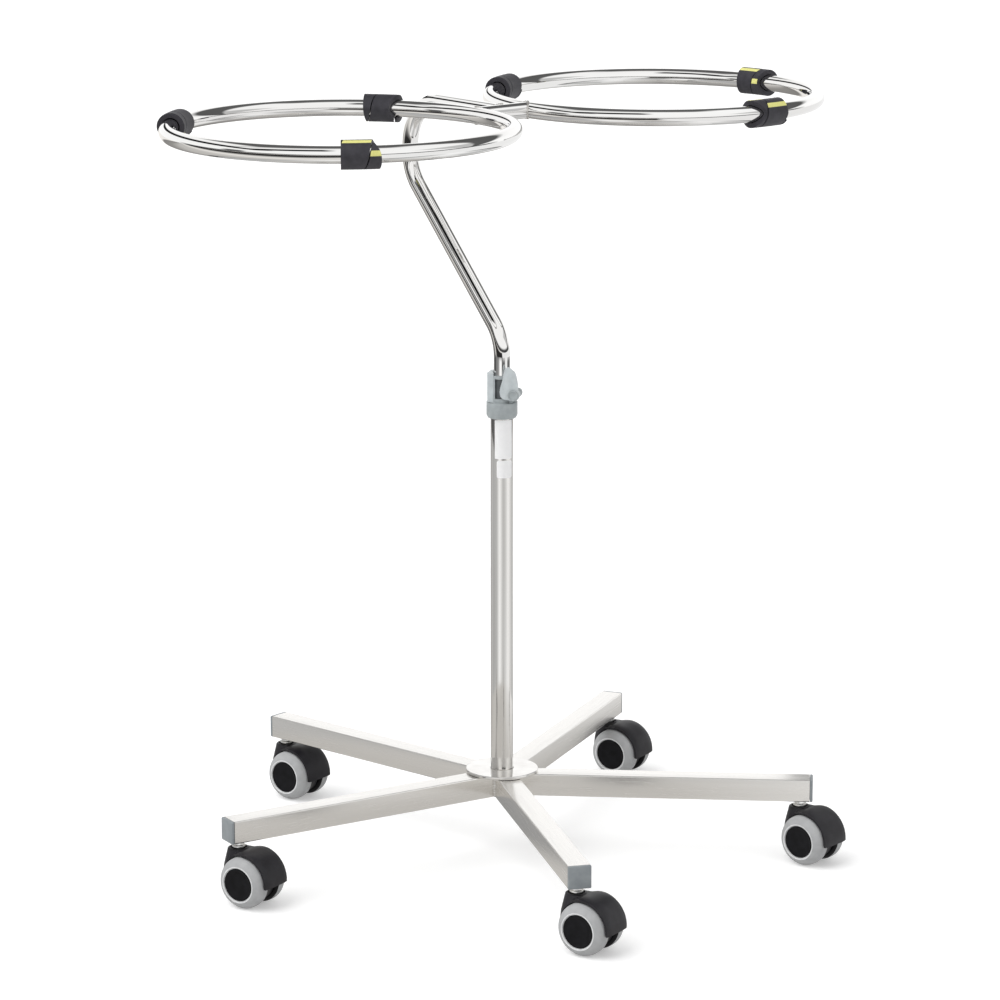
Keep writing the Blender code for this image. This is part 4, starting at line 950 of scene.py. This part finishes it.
def arc(radius, begin, finish, steps, middle):
    turns = [begin + (finish - begin) * i / steps for i in range(steps + 1)]
    return [(middle[0] + radius * math.cos(a), middle[1] + radius * math.sin(a)) for a in turns]


def hood_band():
    """The round band over the wheels: crowned across, and narrowed toward the front."""
    bm = bmesh.new()
    loops = []
    for i in range(BAND_STEPS + 1):
        a = TAIL + (FRONT - TAIL) * i / BAND_STEPS
        narrowed = max(0.0, (a - FULL) / (FRONT - FULL)) ** 2
        half = (HOOD_WIDE + (HOOD_NARROW - HOOD_WIDE) * narrowed) / 2.0
        shares = [2.0 * k / BAND_ROWS - 1.0 for k in range(BAND_ROWS + 1)]
        rows = [(HOOD_RADIUS - HOOD_DROP * share ** 4, share * half) for share in shares]
        rows += [(WHEEL_RADIUS, half), (WHEEL_RADIUS, -half)]
        out = Vector((math.cos(a), 0.0, math.sin(a)))
        middle = Vector((TRAIL, 0.0, AXLE_HEIGHT))
        loops.append([bm.verts.new(middle + out * radius + Vector((0.0, across, 0.0))) for radius, across in rows])
    capped(bm, loops)
    return to_mesh(bm, "hood_band")


def hood_shoulder():
    """A flat-topped form that fills the dip between the nose and the top of the band."""
    bm = bmesh.new()
    loops = []
    for x, spread in ((0.0, 0.0), (0.006, 0.0004), (0.012, 0.0008), (TRAIL + 0.001, 0.0010)):
        rows = [(0.0092 + spread, HOOD_TOP - 0.0004), (0.0128 + spread, 0.0475), (0.0128 + spread, 0.044)]
        rows = rows + [(-across, up) for across, up in reversed(rows)]
        loops.append([bm.verts.new((x, across, up)) for across, up in rows])
    capped(bm, loops)
    return to_mesh(bm, "hood_shoulder")


def hood_web():
    """The plate between the wheels."""
    middle = (TRAIL, AXLE_HEIGHT)
    outline = arc(WHEEL_RADIUS + 0.0005, TAIL, FRONT, 32, middle)
    outline += arc(WEB_RADIUS, FRONT, 2.0 * math.pi + TAIL, 48, middle)
    bm = bmesh.new()
    sides = [[bm.verts.new((x, y, z)) for x, z in outline] for y in (-WEB_HALF, WEB_HALF)]
    capped(bm, sides)
    return to_mesh(bm, "hood_web")


print("hood forms: band, shoulder, web and nose")

# %% [markdown]
# Booleans join the four forms and cut the two wheel pockets and the recess for the stem's collar, as the mould
# of the real hood does with its cores. A Bevel then rounds the edges that are left. Sculpting could blend the
# forms more softly, but then the pockets would no longer fit the wheels.

# %% Castor hood
HOOD_EDGE = 0.0006


def round_cutter(name, radius, low, high, place):
    """A plain round cutter along Z, set in place by a matrix."""
    cutter = lathe(name, [(0.0, low), (radius, low), (radius, high), (0.0, high)], 96)
    cutter.transform(place)
    return cutter


def shaped_by(mesh, steps):
    """Apply Booleans one after another, then round the edges that they leave."""
    work = bpy.data.objects.new(mesh.name, mesh)
    scene.collection.objects.link(work)
    tools = []
    for kind, tool_mesh in steps:
        tool = bpy.data.objects.new(tool_mesh.name, tool_mesh)
        scene.collection.objects.link(tool)
        tools.append(tool)
        change = work.modifiers.new(tool.name, "BOOLEAN")
        change.operation = kind
        change.solver = "EXACT"
        change.object = tool
    ease_edges(work, HOOD_EDGE, 40.0)
    result = worked_out(work, 40.0)
    for used in [work] + tools:
        bpy.data.objects.remove(used)
    return result


on_axle = Matrix.Translation((TRAIL, 0.0, AXLE_HEIGHT)) @ Matrix.Rotation(math.radians(-90.0), 4, "X")
upright = Matrix.Identity(4)
hood_pattern = shaped_by(hood_band(), [
    ("UNION", lathe("nose", NOSE, 64)), ("UNION", hood_shoulder()), ("UNION", hood_web()),
    ("DIFFERENCE", round_cutter("pocket_a", POCKET_RADIUS, WEB_HALF, HOOD_WIDE, on_axle)),
    ("DIFFERENCE", round_cutter("pocket_b", POCKET_RADIUS, -HOOD_WIDE, -WEB_HALF, on_axle)),
    ("DIFFERENCE", round_cutter("recess", RECESS_RADIUS, HOOD_TOP - RECESS_DEPTH, HOOD_TOP + 0.01, upright))])
print("hood:", len(hood_pattern.polygons), "faces")

# %% [markdown]
# A castor wheel is a soft grey tread moulded round a hub, with a black disc set into its face. The tread is
# crowned, so that it scrubs less when the castor swivels, and the small lip round the disc is painted pale as a
# painted highlight. Tread and disc are two turned pieces. The wheel's inner side is painted black as painted
# shade, for the shade between the two wheels under the hood; it is a finish on the tread.

# %% Wheel tread and disc
WHEEL_WIDTH = 0.0174
WHEEL_SIDE = WEB_HALF + 0.0006
LIP_RADIUS = 0.0166
DISC_INSET = 0.0009
tread_profile = softened([
    (0.0, 0.0), (WHEEL_RADIUS - 0.0022, 0.0), (WHEEL_RADIUS - 0.0004, 0.0014), (WHEEL_RADIUS, 0.0040),
    (WHEEL_RADIUS, 0.0078), (WHEEL_RADIUS - 0.0005, 0.0106), (WHEEL_RADIUS - 0.0022, 0.0136),
    (WHEEL_RADIUS - 0.0046, 0.0159), (LIP_RADIUS + 0.0010, WHEEL_WIDTH), (LIP_RADIUS, WHEEL_WIDTH),
    (LIP_RADIUS - 0.0006, WHEEL_WIDTH - 0.0016), (0.0, WHEEL_WIDTH - 0.0016)], 0.0016, 4)
tread_pattern = lathe("tread", tread_profile, 96)
# painted highlight: the lip round the disc is pale as if it caught the light
lip_highlight_grey = surface("lip_highlight_grey", (0.66, 0.665, 0.67), (0.74, 0.745, 0.75), (0.34, 0.46), 1300.0, 140.0, 0.00003)
# painted shade: the faces on the wheel's inner side are black, for the shade between the two wheels
INNER_SHADE_TO = 0.0026
lip_highlight_faces, inner_shade_faces = [], []
for face in tread_pattern.polygons:
    from_axle = Vector((face.center.x, face.center.y)).length
    if abs(from_axle - LIP_RADIUS - 0.0002) < 0.0009 and face.center.z > WHEEL_WIDTH / 2.0:
        lip_highlight_faces.append(face.index)
    elif face.center.z < INNER_SHADE_TO:
        inner_shade_faces.append(face.index)
disc_edge = LIP_RADIUS - 0.0009
disc_back = WHEEL_WIDTH - 0.0015
disc_face = WHEEL_WIDTH - DISC_INSET
disc_profile = softened([
    (0.0, disc_back), (disc_edge, disc_back), (disc_edge, disc_face + 0.0002),
    (LIP_RADIUS - 0.0022, disc_face + 0.0004), (LIP_RADIUS - 0.0032, disc_face), (0.0, disc_face)], 0.0003, 3)
disc_pattern = lathe("disc", disc_profile, 96)
print("wheel:", len(tread_pattern.polygons) + len(disc_pattern.polygons), "faces")

# %% [markdown]
# The stem is a turned steel pin with a collar that the hood swivels under. Only the collar is seen, as a bright
# ring between leg and hood, so it is polished more than the small fittings.

# %% Castor stem
stem_low, stem_high = levels_of("castor_stem_1")
COLLAR_RADIUS = 0.0066
COLLAR_LOW = HOOD_TOP - RECESS_DEPTH + 0.0003
COLLAR_HIGH = COLLAR_LOW + 0.0034
stem_profile = softened([
    (0.0, stem_low), (0.004, stem_low), (0.004, COLLAR_LOW), (COLLAR_RADIUS, COLLAR_LOW),
    (COLLAR_RADIUS, COLLAR_HIGH), (0.005, COLLAR_HIGH), (0.005, stem_high), (0.0, stem_high)], 0.0006, 3)
stem_pattern = lathe("stem", stem_profile, 64)
polished_stem = surface("polished_stem", (0.70, 0.70, 0.69), (0.82, 0.82, 0.81), (0.06, 0.14), 900.0, 150.0, 0.00001,
                        metallic=1.0)
print("stem collar:", round(2000.0 * COLLAR_RADIUS, 1), "mm across")

# %% [markdown]
# Now the five castors are set under the legs. The stem stays with the base, the hood turns with the swivel,
# and each wheel has a body of its own, because the two wheels of a castor turn separately.

# %% Place the castors
HEADINGS = (-71.5, -76.5, -73.0, -73.0, -80.0)
for number, heading in enumerate(HEADINGS, start=1):
    foot = middle_of(f"castor_stem_{number}")
    place = Matrix.Translation((foot.x, foot.y, 0.0)) @ Matrix.Rotation(math.radians(heading), 4, "Z")
    stem = placed(stem_pattern, place)
    dress(f"stem_{number}", stem, "base", [f"castor_stem_{number}"], polished_stem)
    hood = placed(hood_pattern, place)
    dress(f"hood_{number}", hood, f"castor_swivel_{number}", [f"castor_hood_{number}"], hood_black)
    for hand, sign in (("left", 1.0), ("right", -1.0)):
        wheel = f"wheel_{hand}_{number}"
        out = Matrix.Translation((TRAIL, sign * WHEEL_SIDE, AXLE_HEIGHT))
        laid = place @ out @ Matrix.Rotation(math.radians(-90.0 * sign), 4, "X")
        tread = placed(tread_pattern, laid)
        dress(f"tread_{hand}_{number}", tread, wheel, [f"castor_{wheel}"], tread_grey)
        # the lip gets the painted highlight, and the wheel's inner side the painted shade
        for spot, (finish, faces) in enumerate(((lip_highlight_grey, lip_highlight_faces), (disc_black, inner_shade_faces)), start=1):
            tread.materials.append(finish)
            for index in faces:
                tread.polygons[index].material_index = spot
        disc = placed(disc_pattern, laid)
        dress(f"disc_{hand}_{number}", disc, wheel, finish=disc_black)
print("castors:", LEG_COUNT, "with two wheels each")

# %% [markdown]
# Some solids are shown as they are: the hub and its bolt under the base, the axles, the bush and the guide.
# They need no new shape, only their finish.

# %% Finishes of the solids that stay
KEPT = {"base_hub": zinc_fitting, "bolt_washer": zinc_fitting, "column_bolt": zinc_fitting,
        "column_foot_plug": zinc_fitting, "clamp_screw": zinc_fitting, "column_bush": nylon, "mast_guide": nylon}
KEPT.update({f"castor_axle_{i}": zinc_fitting for i in range(1, LEG_COUNT + 1)})
for node, finish in KEPT.items():
    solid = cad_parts[node]
    solid.data.materials.clear()
    solid.data.materials.append(finish)
print("solids kept:", len(KEPT))

# %% [markdown]
# The studio. In an all-white room polished metal has nothing to reflect and looks like paper. A photographer
# stands a low toned screen round such an object, on the camera's side: its grey and white stripes become lines
# down every upright. Only mirrors see the screen here, and only its inner side, so it casts no shadow and the
# camera looks straight through it. Each point of the screen keeps the bearing at which the column mirrors it,
# counted from the camera's side, and its height. The finish turns those two numbers into tones.

# %% Helpers for the toned screen
SCREEN_RADIUS = 0.45
SCREEN_SPREAD = 138
SCREEN_FADE = 0.008


def ramp_of(tree, source, stops):
    """A ramp with any number of (position, colour) stops."""
    ramp = add(tree, "ShaderNodeValToRGB")
    elements = ramp.color_ramp.elements
    elements[0].position, elements[1].position = stops[0][0], stops[-1][0]
    elements[0].color, elements[1].color = (*stops[0][1], 1.0), (*stops[-1][1], 1.0)
    for place, colour in stops[1:-1]:
        elements.new(place).color = (*colour, 1.0)
    wire(tree, (source, ramp.inputs["Fac"]))
    return ramp.outputs["Color"]


def grey_stops(stops, low, high):
    """Tones at given places, as ramp stops between a low and a high end."""
    return [((place - low) / (high - low), (tone, tone, tone)) for place, tone in stops]


def mirrored_level(level):
    """The height on the screen that the camera sees mirrored at a height of the column."""
    drop = (camera.location.z - level) / Vector((CAMERA_FROM_AXIS.x, CAMERA_FROM_AXIS.y)).length
    return level - (SCREEN_RADIUS - COLUMN_RADIUS) * drop


def bare_paper(name):
    """A material whose tree has only its output, for paper that glows by itself."""
    paper = bpy.data.materials.new(name)
    paper.use_nodes = True
    paper.node_tree.nodes.remove(paper.node_tree.nodes["Principled BSDF"])
    return paper, paper.node_tree


def toned_paper(name, tones, clear_above):
    """Paper that glows in tones by bearing, and ends softly at the top."""
    paper, tree = bare_paper(name)
    bearing = add(tree, "ShaderNodeAttribute", attribute_name="bearing").outputs["Fac"]
    level = add(tree, "ShaderNodeAttribute", attribute_name="level").outputs["Fac"]
    across = add(tree, "ShaderNodeMapRange", {"From Min": -SCREEN_SPREAD, "From Max": SCREEN_SPREAD})
    soft_tones = ramp_of(tree, across.outputs["Result"], grey_stops(tones, -SCREEN_SPREAD, SCREEN_SPREAD))
    at_top = add(tree, "ShaderNodeMapRange", {"From Min": clear_above - SCREEN_FADE, "From Max": clear_above})
    glow = add(tree, "ShaderNodeEmission", {"Strength": 1.0})
    nothing = add(tree, "ShaderNodeBsdfTransparent")
    side = add(tree, "ShaderNodeNewGeometry")
    hidden = add(tree, "ShaderNodeMath", operation="MAXIMUM")
    shown = add(tree, "ShaderNodeMixShader")
    wire(tree, (bearing, across.inputs["Value"]), (level, at_top.inputs["Value"]), (soft_tones, glow.inputs["Color"]),
         (side.outputs["Backfacing"], hidden.inputs[0]), (at_top.outputs["Result"], hidden.inputs[1]),
         (hidden.outputs["Value"], shown.inputs["Fac"]), (glow.outputs["Emission"], shown.inputs[1]),
         (nothing.outputs["BSDF"], shown.inputs[2]),
         (shown.outputs["Shader"], tree.nodes["Material Output"].inputs["Surface"]))
    return paper


print("screen stands", SCREEN_RADIUS, "m from the column")

# %% [markdown]
# The lower part of the screen has the soft tones of the column. Its top edge is what the short upright of the
# mast over the clamp mirrors. That tube is brighter polished, so the stripes there are harder.

# %% Low screen
COLUMN_TONES = ((-138.0, 0.60), (-100.0, 0.50), (-52.0, 0.56), (-38.0, 0.86), (-25.0, 1.06), (-12.0, 0.97),
                (3.0, 0.71), (14.0, 0.62), (30.0, 0.70), (46.0, 0.86), (60.0, 1.04), (72.0, 1.04), (85.0, 0.93),
                (100.0, 0.73), (116.0, 0.63), (138.0, 0.46))
MAST_TONES = ((-138.0, 0.30), (-112.0, 0.08), (-96.0, 0.10), (-84.0, 0.26), (-54.0, 0.30), (-40.0, 0.60),
              (-30.0, 1.20), (-8.0, 1.20), (4.0, 0.06), (36.0, 0.10), (46.0, 0.80), (54.0, 1.20), (68.0, 1.10),
              (80.0, 0.34), (96.0, 0.12), (112.0, 0.17), (138.0, 0.36))
SCREEN_FOOT = 0.001
COLUMN_TONES_TO = 0.455
MAST_TONES_TO = 0.504
screen_top = mirrored_level(MAST_TONES_TO)
screen_rows = (SCREEN_FOOT, mirrored_level(COLUMN_TONES_TO), screen_top)
bm = bmesh.new()
bearing_layer = bm.verts.layers.float.new("bearing")
level_layer = bm.verts.layers.float.new("level")
loops = []
for bearing in range(-SCREEN_SPREAD, SCREEN_SPREAD + 1, 3):
    mirrored = camera_side + math.radians(bearing)
    faced = camera_side + math.radians(bearing) / 2.0
    on_column = Vector((math.cos(faced), math.sin(faced), 0.0)) * COLUMN_RADIUS
    away = Vector((math.cos(mirrored), math.sin(mirrored), 0.0))
    short = on_column.dot(away)
    reach = math.sqrt(short ** 2 + SCREEN_RADIUS ** 2 - COLUMN_RADIUS ** 2) - short
    loop = []
    for level in screen_rows:
        vertex = bm.verts.new(axis + on_column + away * reach + Vector((0.0, 0.0, level)))
        vertex[bearing_layer], vertex[level_layer] = bearing, level
        loop.append(vertex)
    loops.append(loop)
for here, there in zip(loops, loops[1:]):
    for row in range(len(screen_rows) - 1):
        bm.faces.new((here[row], here[row + 1], there[row + 1], there[row])).material_index = row
screen_mesh = bpy.data.meshes.new("low_screen")
bm.to_mesh(screen_mesh)
bm.free()
screen_mesh.materials.append(toned_paper("column_paper", COLUMN_TONES, 1.0))
screen_mesh.materials.append(toned_paper("mast_paper", MAST_TONES, screen_top))
low_screen = bpy.data.objects.new("low_screen", screen_mesh)
scene.collection.objects.link(low_screen)
low_screen.visible_camera = False
low_screen.visible_diffuse = False
low_screen.visible_transmission = False
low_screen.visible_shadow = False
print("screen rows:", [round(level, 3) for level in screen_rows])

# %% [markdown]
# The floor is one large pale sheet. Mirrors see it as a toned sheet: warm grey near the stand, white far behind
# it and to the right, and a bright patch with a dark band beyond on the camera's side. The band is the dark
# line along the lower half of every level tube. A dark spot beside the hub is painted shadow, the shade under
# the hub, and it darkens the front leg's side.
# Cards laid on the floor would do the same, but their edges would show as steps in every tube.

# %% Floor tones for mirrors
FLOOR_HALF = 20.0
WARM = (1.0, 0.975, 0.94)
MIRROR_FLOOR = ((-2.2, 1.0), (-1.7, 0.26), (-0.6, 0.34), (-0.2, 0.50), (0.1, 0.62), (0.4, 0.62), (0.75, 0.76),
                (1.05, 1.0), (1.35, 0.75), (1.8, 0.20), (2.4, 0.03), (8.0, 0.03), (11.0, 0.6), (14.0, 1.0))
WHITE_FROM, WHITE_FULL = 0.14, 0.46
# painted shadow: a dark spot on the floor beside the hub, as mirrors see the floor
SPOT_TOWARD, SPOT_RIGHT = -0.11, -0.10
SPOT_LONG, SPOT_WIDE = 0.19, 0.075
HUB_SHADOW_TONE = 0.34
floor_corners = [(x * FLOOR_HALF, y * FLOOR_HALF, 0.0) for x, y in ((-1, -1), (1, -1), (1, 1), (-1, 1))]
floor_mesh = bpy.data.meshes.new("floor")
floor_mesh.from_pydata(floor_corners, [], [(0, 1, 2, 3)])
floor = bpy.data.objects.new("floor", floor_mesh)
scene.collection.objects.link(floor)
floor_paper, tree = bare_paper("floor_paper")


def camera_parts(tree, vector):
    """A vector's parts toward the camera, to the right, and up."""
    turned = add(tree, "ShaderNodeMapping", {"Rotation": (0.0, 0.0, -camera_side)})
    parts = add(tree, "ShaderNodeSeparateXYZ")
    wire(tree, (vector, turned.inputs["Vector"]), (turned.outputs["Vector"], parts.inputs["Vector"]))
    return parts.outputs["X"], parts.outputs["Y"], parts.outputs["Z"]


back_end, front_end = MIRROR_FLOOR[0][0], MIRROR_FLOOR[-1][0]
toward, to_right, _ = camera_parts(tree, add(tree, "ShaderNodeTexCoord").outputs["Object"])
to_left = add(tree, "ShaderNodeMapRange", {"From Min": 0.0, "From Max": -20.0, "To Min": 0.0, "To Max": 10.0})
away = add(tree, "ShaderNodeMath", operation="ADD")
share = add(tree, "ShaderNodeMapRange", {"From Min": back_end, "From Max": front_end})
warm_stops = []
for place, tone in MIRROR_FLOOR:
    warm_stops.append(((place - back_end) / (front_end - back_end), [tone * tint for tint in WARM]))
floor_tone = ramp_of(tree, share.outputs["Result"], warm_stops)
far_right = add(tree, "ShaderNodeMapRange", {"From Min": WHITE_FROM, "From Max": WHITE_FULL})
right_white = add(tree, "ShaderNodeMix", {7: (1.0, 1.0, 1.0, 1.0)}, data_type="RGBA")
flat = add(tree, "ShaderNodeCombineXYZ")
spot = add(tree, "ShaderNodeMapping", {"Scale": (1.0 / SPOT_LONG, 1.0 / SPOT_WIDE, 1.0),
                                       "Location": (-SPOT_TOWARD / SPOT_LONG, -SPOT_RIGHT / SPOT_WIDE, 0.0)})
from_spot = add(tree, "ShaderNodeVectorMath", operation="LENGTH")
in_spot = add(tree, "ShaderNodeMapRange", {"From Min": 0.7, "From Max": 1.2, "To Min": 1.0, "To Max": 0.0})
hub_shadow_spot = add(tree, "ShaderNodeMix", {7: (HUB_SHADOW_TONE, HUB_SHADOW_TONE, HUB_SHADOW_TONE, 1.0)}, data_type="RGBA")
wire(tree, (to_right, to_left.inputs["Value"]), (toward, away.inputs[0]),
     (to_left.outputs["Result"], away.inputs[1]),
     (away.outputs["Value"], share.inputs["Value"]), (to_right, far_right.inputs["Value"]),
     (far_right.outputs["Result"], right_white.inputs["Factor"]), (floor_tone, right_white.inputs[6]),
     (toward, flat.inputs["X"]), (to_right, flat.inputs["Y"]), (flat.outputs["Vector"], spot.inputs["Vector"]),
     (spot.outputs["Vector"], from_spot.inputs[0]), (from_spot.outputs["Value"], in_spot.inputs["Value"]),
     (in_spot.outputs["Result"], hub_shadow_spot.inputs["Factor"]), (right_white.outputs[2], hub_shadow_spot.inputs[6]))
print("floor:", 2.0 * FLOOR_HALF, "m square,", len(MIRROR_FLOOR), "tones for mirrors")

# %% [markdown]
# For the camera the floor is lifted to white by a little light of its own, so that it has no edge, and it still
# takes the shadow of the castors. More lamp light would whiten it too, but would bleach the object with it.

# %% Floor for the camera
FLOOR_LIFT = 0.34
paper = add(tree, "ShaderNodeBsdfDiffuse", {"Color": (0.80, 0.80, 0.80, 1.0)})
lift = add(tree, "ShaderNodeEmission", {"Strength": FLOOR_LIFT})
lifted = add(tree, "ShaderNodeAddShader")
mirror_side = add(tree, "ShaderNodeEmission", {"Strength": 1.0})
ray = add(tree, "ShaderNodeLightPath")
seen = add(tree, "ShaderNodeMath", operation="MAXIMUM")
for_eye = add(tree, "ShaderNodeMixShader")
for_mirror = add(tree, "ShaderNodeMixShader")
wire(tree, (hub_shadow_spot.outputs[2], mirror_side.inputs["Color"]),
     (paper.outputs["BSDF"], lifted.inputs[0]), (lift.outputs["Emission"], lifted.inputs[1]),
     (ray.outputs["Is Camera Ray"], seen.inputs[0]), (ray.outputs["Is Transmission Ray"], seen.inputs[1]),
     (seen.outputs["Value"], for_eye.inputs["Fac"]), (paper.outputs["BSDF"], for_eye.inputs[1]),
     (lifted.outputs["Shader"], for_eye.inputs[2]), (ray.outputs["Is Glossy Ray"], for_mirror.inputs["Fac"]),
     (for_eye.outputs["Shader"], for_mirror.inputs[1]), (mirror_side.outputs["Emission"], for_mirror.inputs[2]),
     (for_mirror.outputs["Shader"], tree.nodes["Material Output"].inputs["Surface"]))
floor_mesh.materials.append(floor_paper)
print("floor lifted by", FLOOR_LIFT)

# %% [markdown]
# The sky of the studio has three jobs. For the camera it is plain white. For diffuse surfaces it is a soft
# fill from everywhere. For mirrors it is a light box overhead with a black frame, a white wall on the camera's
# side, a dark ceiling behind and a white wall at the far end. The black frame draws the thin black line along
# every tube. Tones are given by two angles: over the top from the camera's horizon to the far one, and from
# the left horizon over the top to the right one. Where a patch is given, the tones from left to right count.

# %% World
OVER_TONES = ((0.0, 1.0), (47.0, 1.0), (51.0, 0.01), (68.0, 0.01), (72.0, 0.95), (84.0, 1.0), (91.0, 0.40),
              (98.0, 0.12), (144.0, 0.10), (151.0, 1.0), (158.0, 1.06), (180.0, 1.06))
SIDE_TONES = ((-90.0, 1.0), (-58.0, 1.0), (-56.0, 0.02), (-45.0, 0.02), (-43.0, 1.0), (54.0, 1.0), (60.0, 0.55),
              (90.0, 0.55))
PATCHES = ((((0.0, 0.0), (42.0, 0.0), (47.0, 1.0), (146.0, 1.0), (152.0, 0.0), (180.0, 0.0)),
            ((-90.0, 1.0), (-46.0, 1.0), (-44.0, 0.0), (90.0, 0.0))),
           (((0.0, 0.0), (38.0, 0.0), (42.0, 1.0), (72.0, 1.0), (76.0, 0.0), (180.0, 0.0)),
            ((-90.0, 0.0), (-8.0, 0.0), (-1.0, 1.0), (90.0, 1.0))),
           (((0.0, 0.0), (90.0, 0.0), (97.0, 1.0), (180.0, 1.0)),
            ((-90.0, 1.0), (-31.0, 1.0), (-26.0, 0.0), (90.0, 0.0))),
           (((0.0, 0.0), (64.0, 0.0), (69.0, 1.0), (106.0, 1.0), (114.0, 0.0), (180.0, 0.0)),
            ((-90.0, 0.0), (14.0, 0.0), (22.0, 1.0), (90.0, 1.0))))
world = bpy.data.worlds.new("studio")
scene.world = world
world.use_nodes = True
tree = world.node_tree
tree.nodes.clear()


def angle_share(tree, first, second, low, high):
    """The angle of two parts of a direction, as a share of a range in degrees."""
    angle = add(tree, "ShaderNodeMath", operation="ARCTAN2")
    share = add(tree, "ShaderNodeMapRange", {"From Min": math.radians(low), "From Max": math.radians(high)})
    wire(tree, (first, angle.inputs[0]), (second, angle.inputs[1]), (angle.outputs["Value"], share.inputs["Value"]))
    return share.outputs["Result"]


def both(tree, first, second, operation="MULTIPLY"):
    joined = add(tree, "ShaderNodeMath", operation=operation)
    wire(tree, (first, joined.inputs[0]), (second, joined.inputs[1]))
    return joined.outputs["Value"]


toward, to_right, upward = camera_parts(tree, add(tree, "ShaderNodeTexCoord").outputs["Generated"])
over = angle_share(tree, upward, toward, 0.0, 180.0)
side = angle_share(tree, to_right, upward, -90.0, 90.0)
patched = None
for by_over, by_side in PATCHES:
    patch = both(tree, ramp_of(tree, over, grey_stops(by_over, 0.0, 180.0)),
                 ramp_of(tree, side, grey_stops(by_side, -90.0, 90.0)))
    patched = patch if patched is None else both(tree, patched, patch, "MAXIMUM")
boxes = add(tree, "ShaderNodeMix", data_type="RGBA")
wire(tree, (patched, boxes.inputs["Factor"]),
     (ramp_of(tree, over, grey_stops(OVER_TONES, 0.0, 180.0)), boxes.inputs[6]),
     (ramp_of(tree, side, grey_stops(SIDE_TONES, -90.0, 90.0)), boxes.inputs[7]))
print("sky for mirrors:", len(PATCHES), "patches")

# %% [markdown]
# Two dark things stand low in this sky: a flag on the left, which the leaning mast shows as its dark side,
# and a thin line just over the floor, all round but for the far end.

# %% Flag and horizon
FLAG_BEARING = ((-180.0, 0.0), (-80.0, 0.0), (-74.0, 1.0), (-64.0, 1.0), (-59.0, 0.0), (180.0, 0.0))
FLAG_UP = ((-1.0, 0.0), (0.04, 0.0), (0.10, 1.0), (0.27, 1.0), (0.33, 0.0), (1.0, 0.0))
FLAG_TONE = 0.12
HORIZON_TONE = 0.06
bearing = angle_share(tree, to_right, toward, -180.0, 180.0)
height = add(tree, "ShaderNodeMapRange", {"From Min": -1.0, "From Max": 1.0})
above_line = add(tree, "ShaderNodeMapRange", {"From Min": 0.05, "From Max": 0.12})
at_far_end = add(tree, "ShaderNodeMapRange", {"From Min": -0.30, "From Max": -0.50})
wire(tree, (upward, height.inputs["Value"]), (upward, above_line.inputs["Value"]),
     (toward, at_far_end.inputs["Value"]))
on_flag = both(tree, ramp_of(tree, bearing, grey_stops(FLAG_BEARING, -180.0, 180.0)),
               ramp_of(tree, height.outputs["Result"], grey_stops(FLAG_UP, -1.0, 1.0)))
flagged = add(tree, "ShaderNodeMix", {7: (FLAG_TONE, FLAG_TONE, FLAG_TONE, 1.0)}, data_type="RGBA")
sky = add(tree, "ShaderNodeMix", {6: (HORIZON_TONE, HORIZON_TONE, HORIZON_TONE, 1.0)}, data_type="RGBA")
wire(tree, (on_flag, flagged.inputs["Factor"]), (boxes.outputs[2], flagged.inputs[6]),
     (both(tree, above_line.outputs["Result"], at_far_end.outputs["Result"], "MAXIMUM"), sky.inputs["Factor"]),
     (flagged.outputs[2], sky.inputs[7]))
print("sky tree:", len(tree.nodes), "nodes")

# %% [markdown]
# The three jobs are kept apart by the kind of ray that asks: the camera's, a mirror's, or any other.

# %% World for each kind of ray
SKY_STRENGTH = 1.12
FILL = 0.70
plain_white = add(tree, "ShaderNodeBackground", {"Color": (1.0, 1.0, 1.0, 1.0), "Strength": 1.0})
soft_fill = add(tree, "ShaderNodeBackground", {"Color": (1.0, 1.0, 1.0, 1.0), "Strength": FILL})
in_mirror = add(tree, "ShaderNodeBackground", {"Strength": SKY_STRENGTH})
ray = add(tree, "ShaderNodeLightPath")
seen = add(tree, "ShaderNodeMath", operation="MAXIMUM")
mirror_or_fill = add(tree, "ShaderNodeMixShader")
eye_or_not = add(tree, "ShaderNodeMixShader")
output = add(tree, "ShaderNodeOutputWorld")
wire(tree, (sky.outputs[2], in_mirror.inputs["Color"]), (ray.outputs["Is Glossy Ray"], mirror_or_fill.inputs["Fac"]),
     (soft_fill.outputs["Background"], mirror_or_fill.inputs[1]),
     (in_mirror.outputs["Background"], mirror_or_fill.inputs[2]),
     (ray.outputs["Is Camera Ray"], seen.inputs[0]), (ray.outputs["Is Transmission Ray"], seen.inputs[1]),
     (seen.outputs["Value"], eye_or_not.inputs["Fac"]), (mirror_or_fill.outputs["Shader"], eye_or_not.inputs[1]),
     (plain_white.outputs["Background"], eye_or_not.inputs[2]),
     (eye_or_not.outputs["Shader"], output.inputs["Surface"]))
print("world: fill", FILL)

# %% [markdown]
# One broad lamp from the upper left gives the shading a direction and drops a soft shadow to the right of
# each castor. A sun with a wide angle does this evenly over the whole floor, where an area lamp would fall
# off with distance. Mirrors do not see it: they have the light box.

# %% Key light
KEY_FROM_LEFT = 0.80
KEY_FROM_FRONT = 0.25
KEY_HEIGHT = 1.25
KEY_STRENGTH = 1.5
KEY_SPREAD = math.radians(55.0)
right_hand = Vector((toward_axis.y, -toward_axis.x, 0.0))
key_data = bpy.data.lights.new("key", "SUN")
key_data.energy = KEY_STRENGTH
key_data.angle = KEY_SPREAD
key = bpy.data.objects.new("key", key_data)
key.visible_glossy = False
scene.collection.objects.link(key)
key_from = -right_hand * KEY_FROM_LEFT - toward_axis * KEY_FROM_FRONT + Vector((0.0, 0.0, KEY_HEIGHT))
key.rotation_euler = (-key_from).to_track_quat("-Z", "Y").to_euler()
scene.view_settings.view_transform = "Standard"
print("key light:", KEY_STRENGTH)
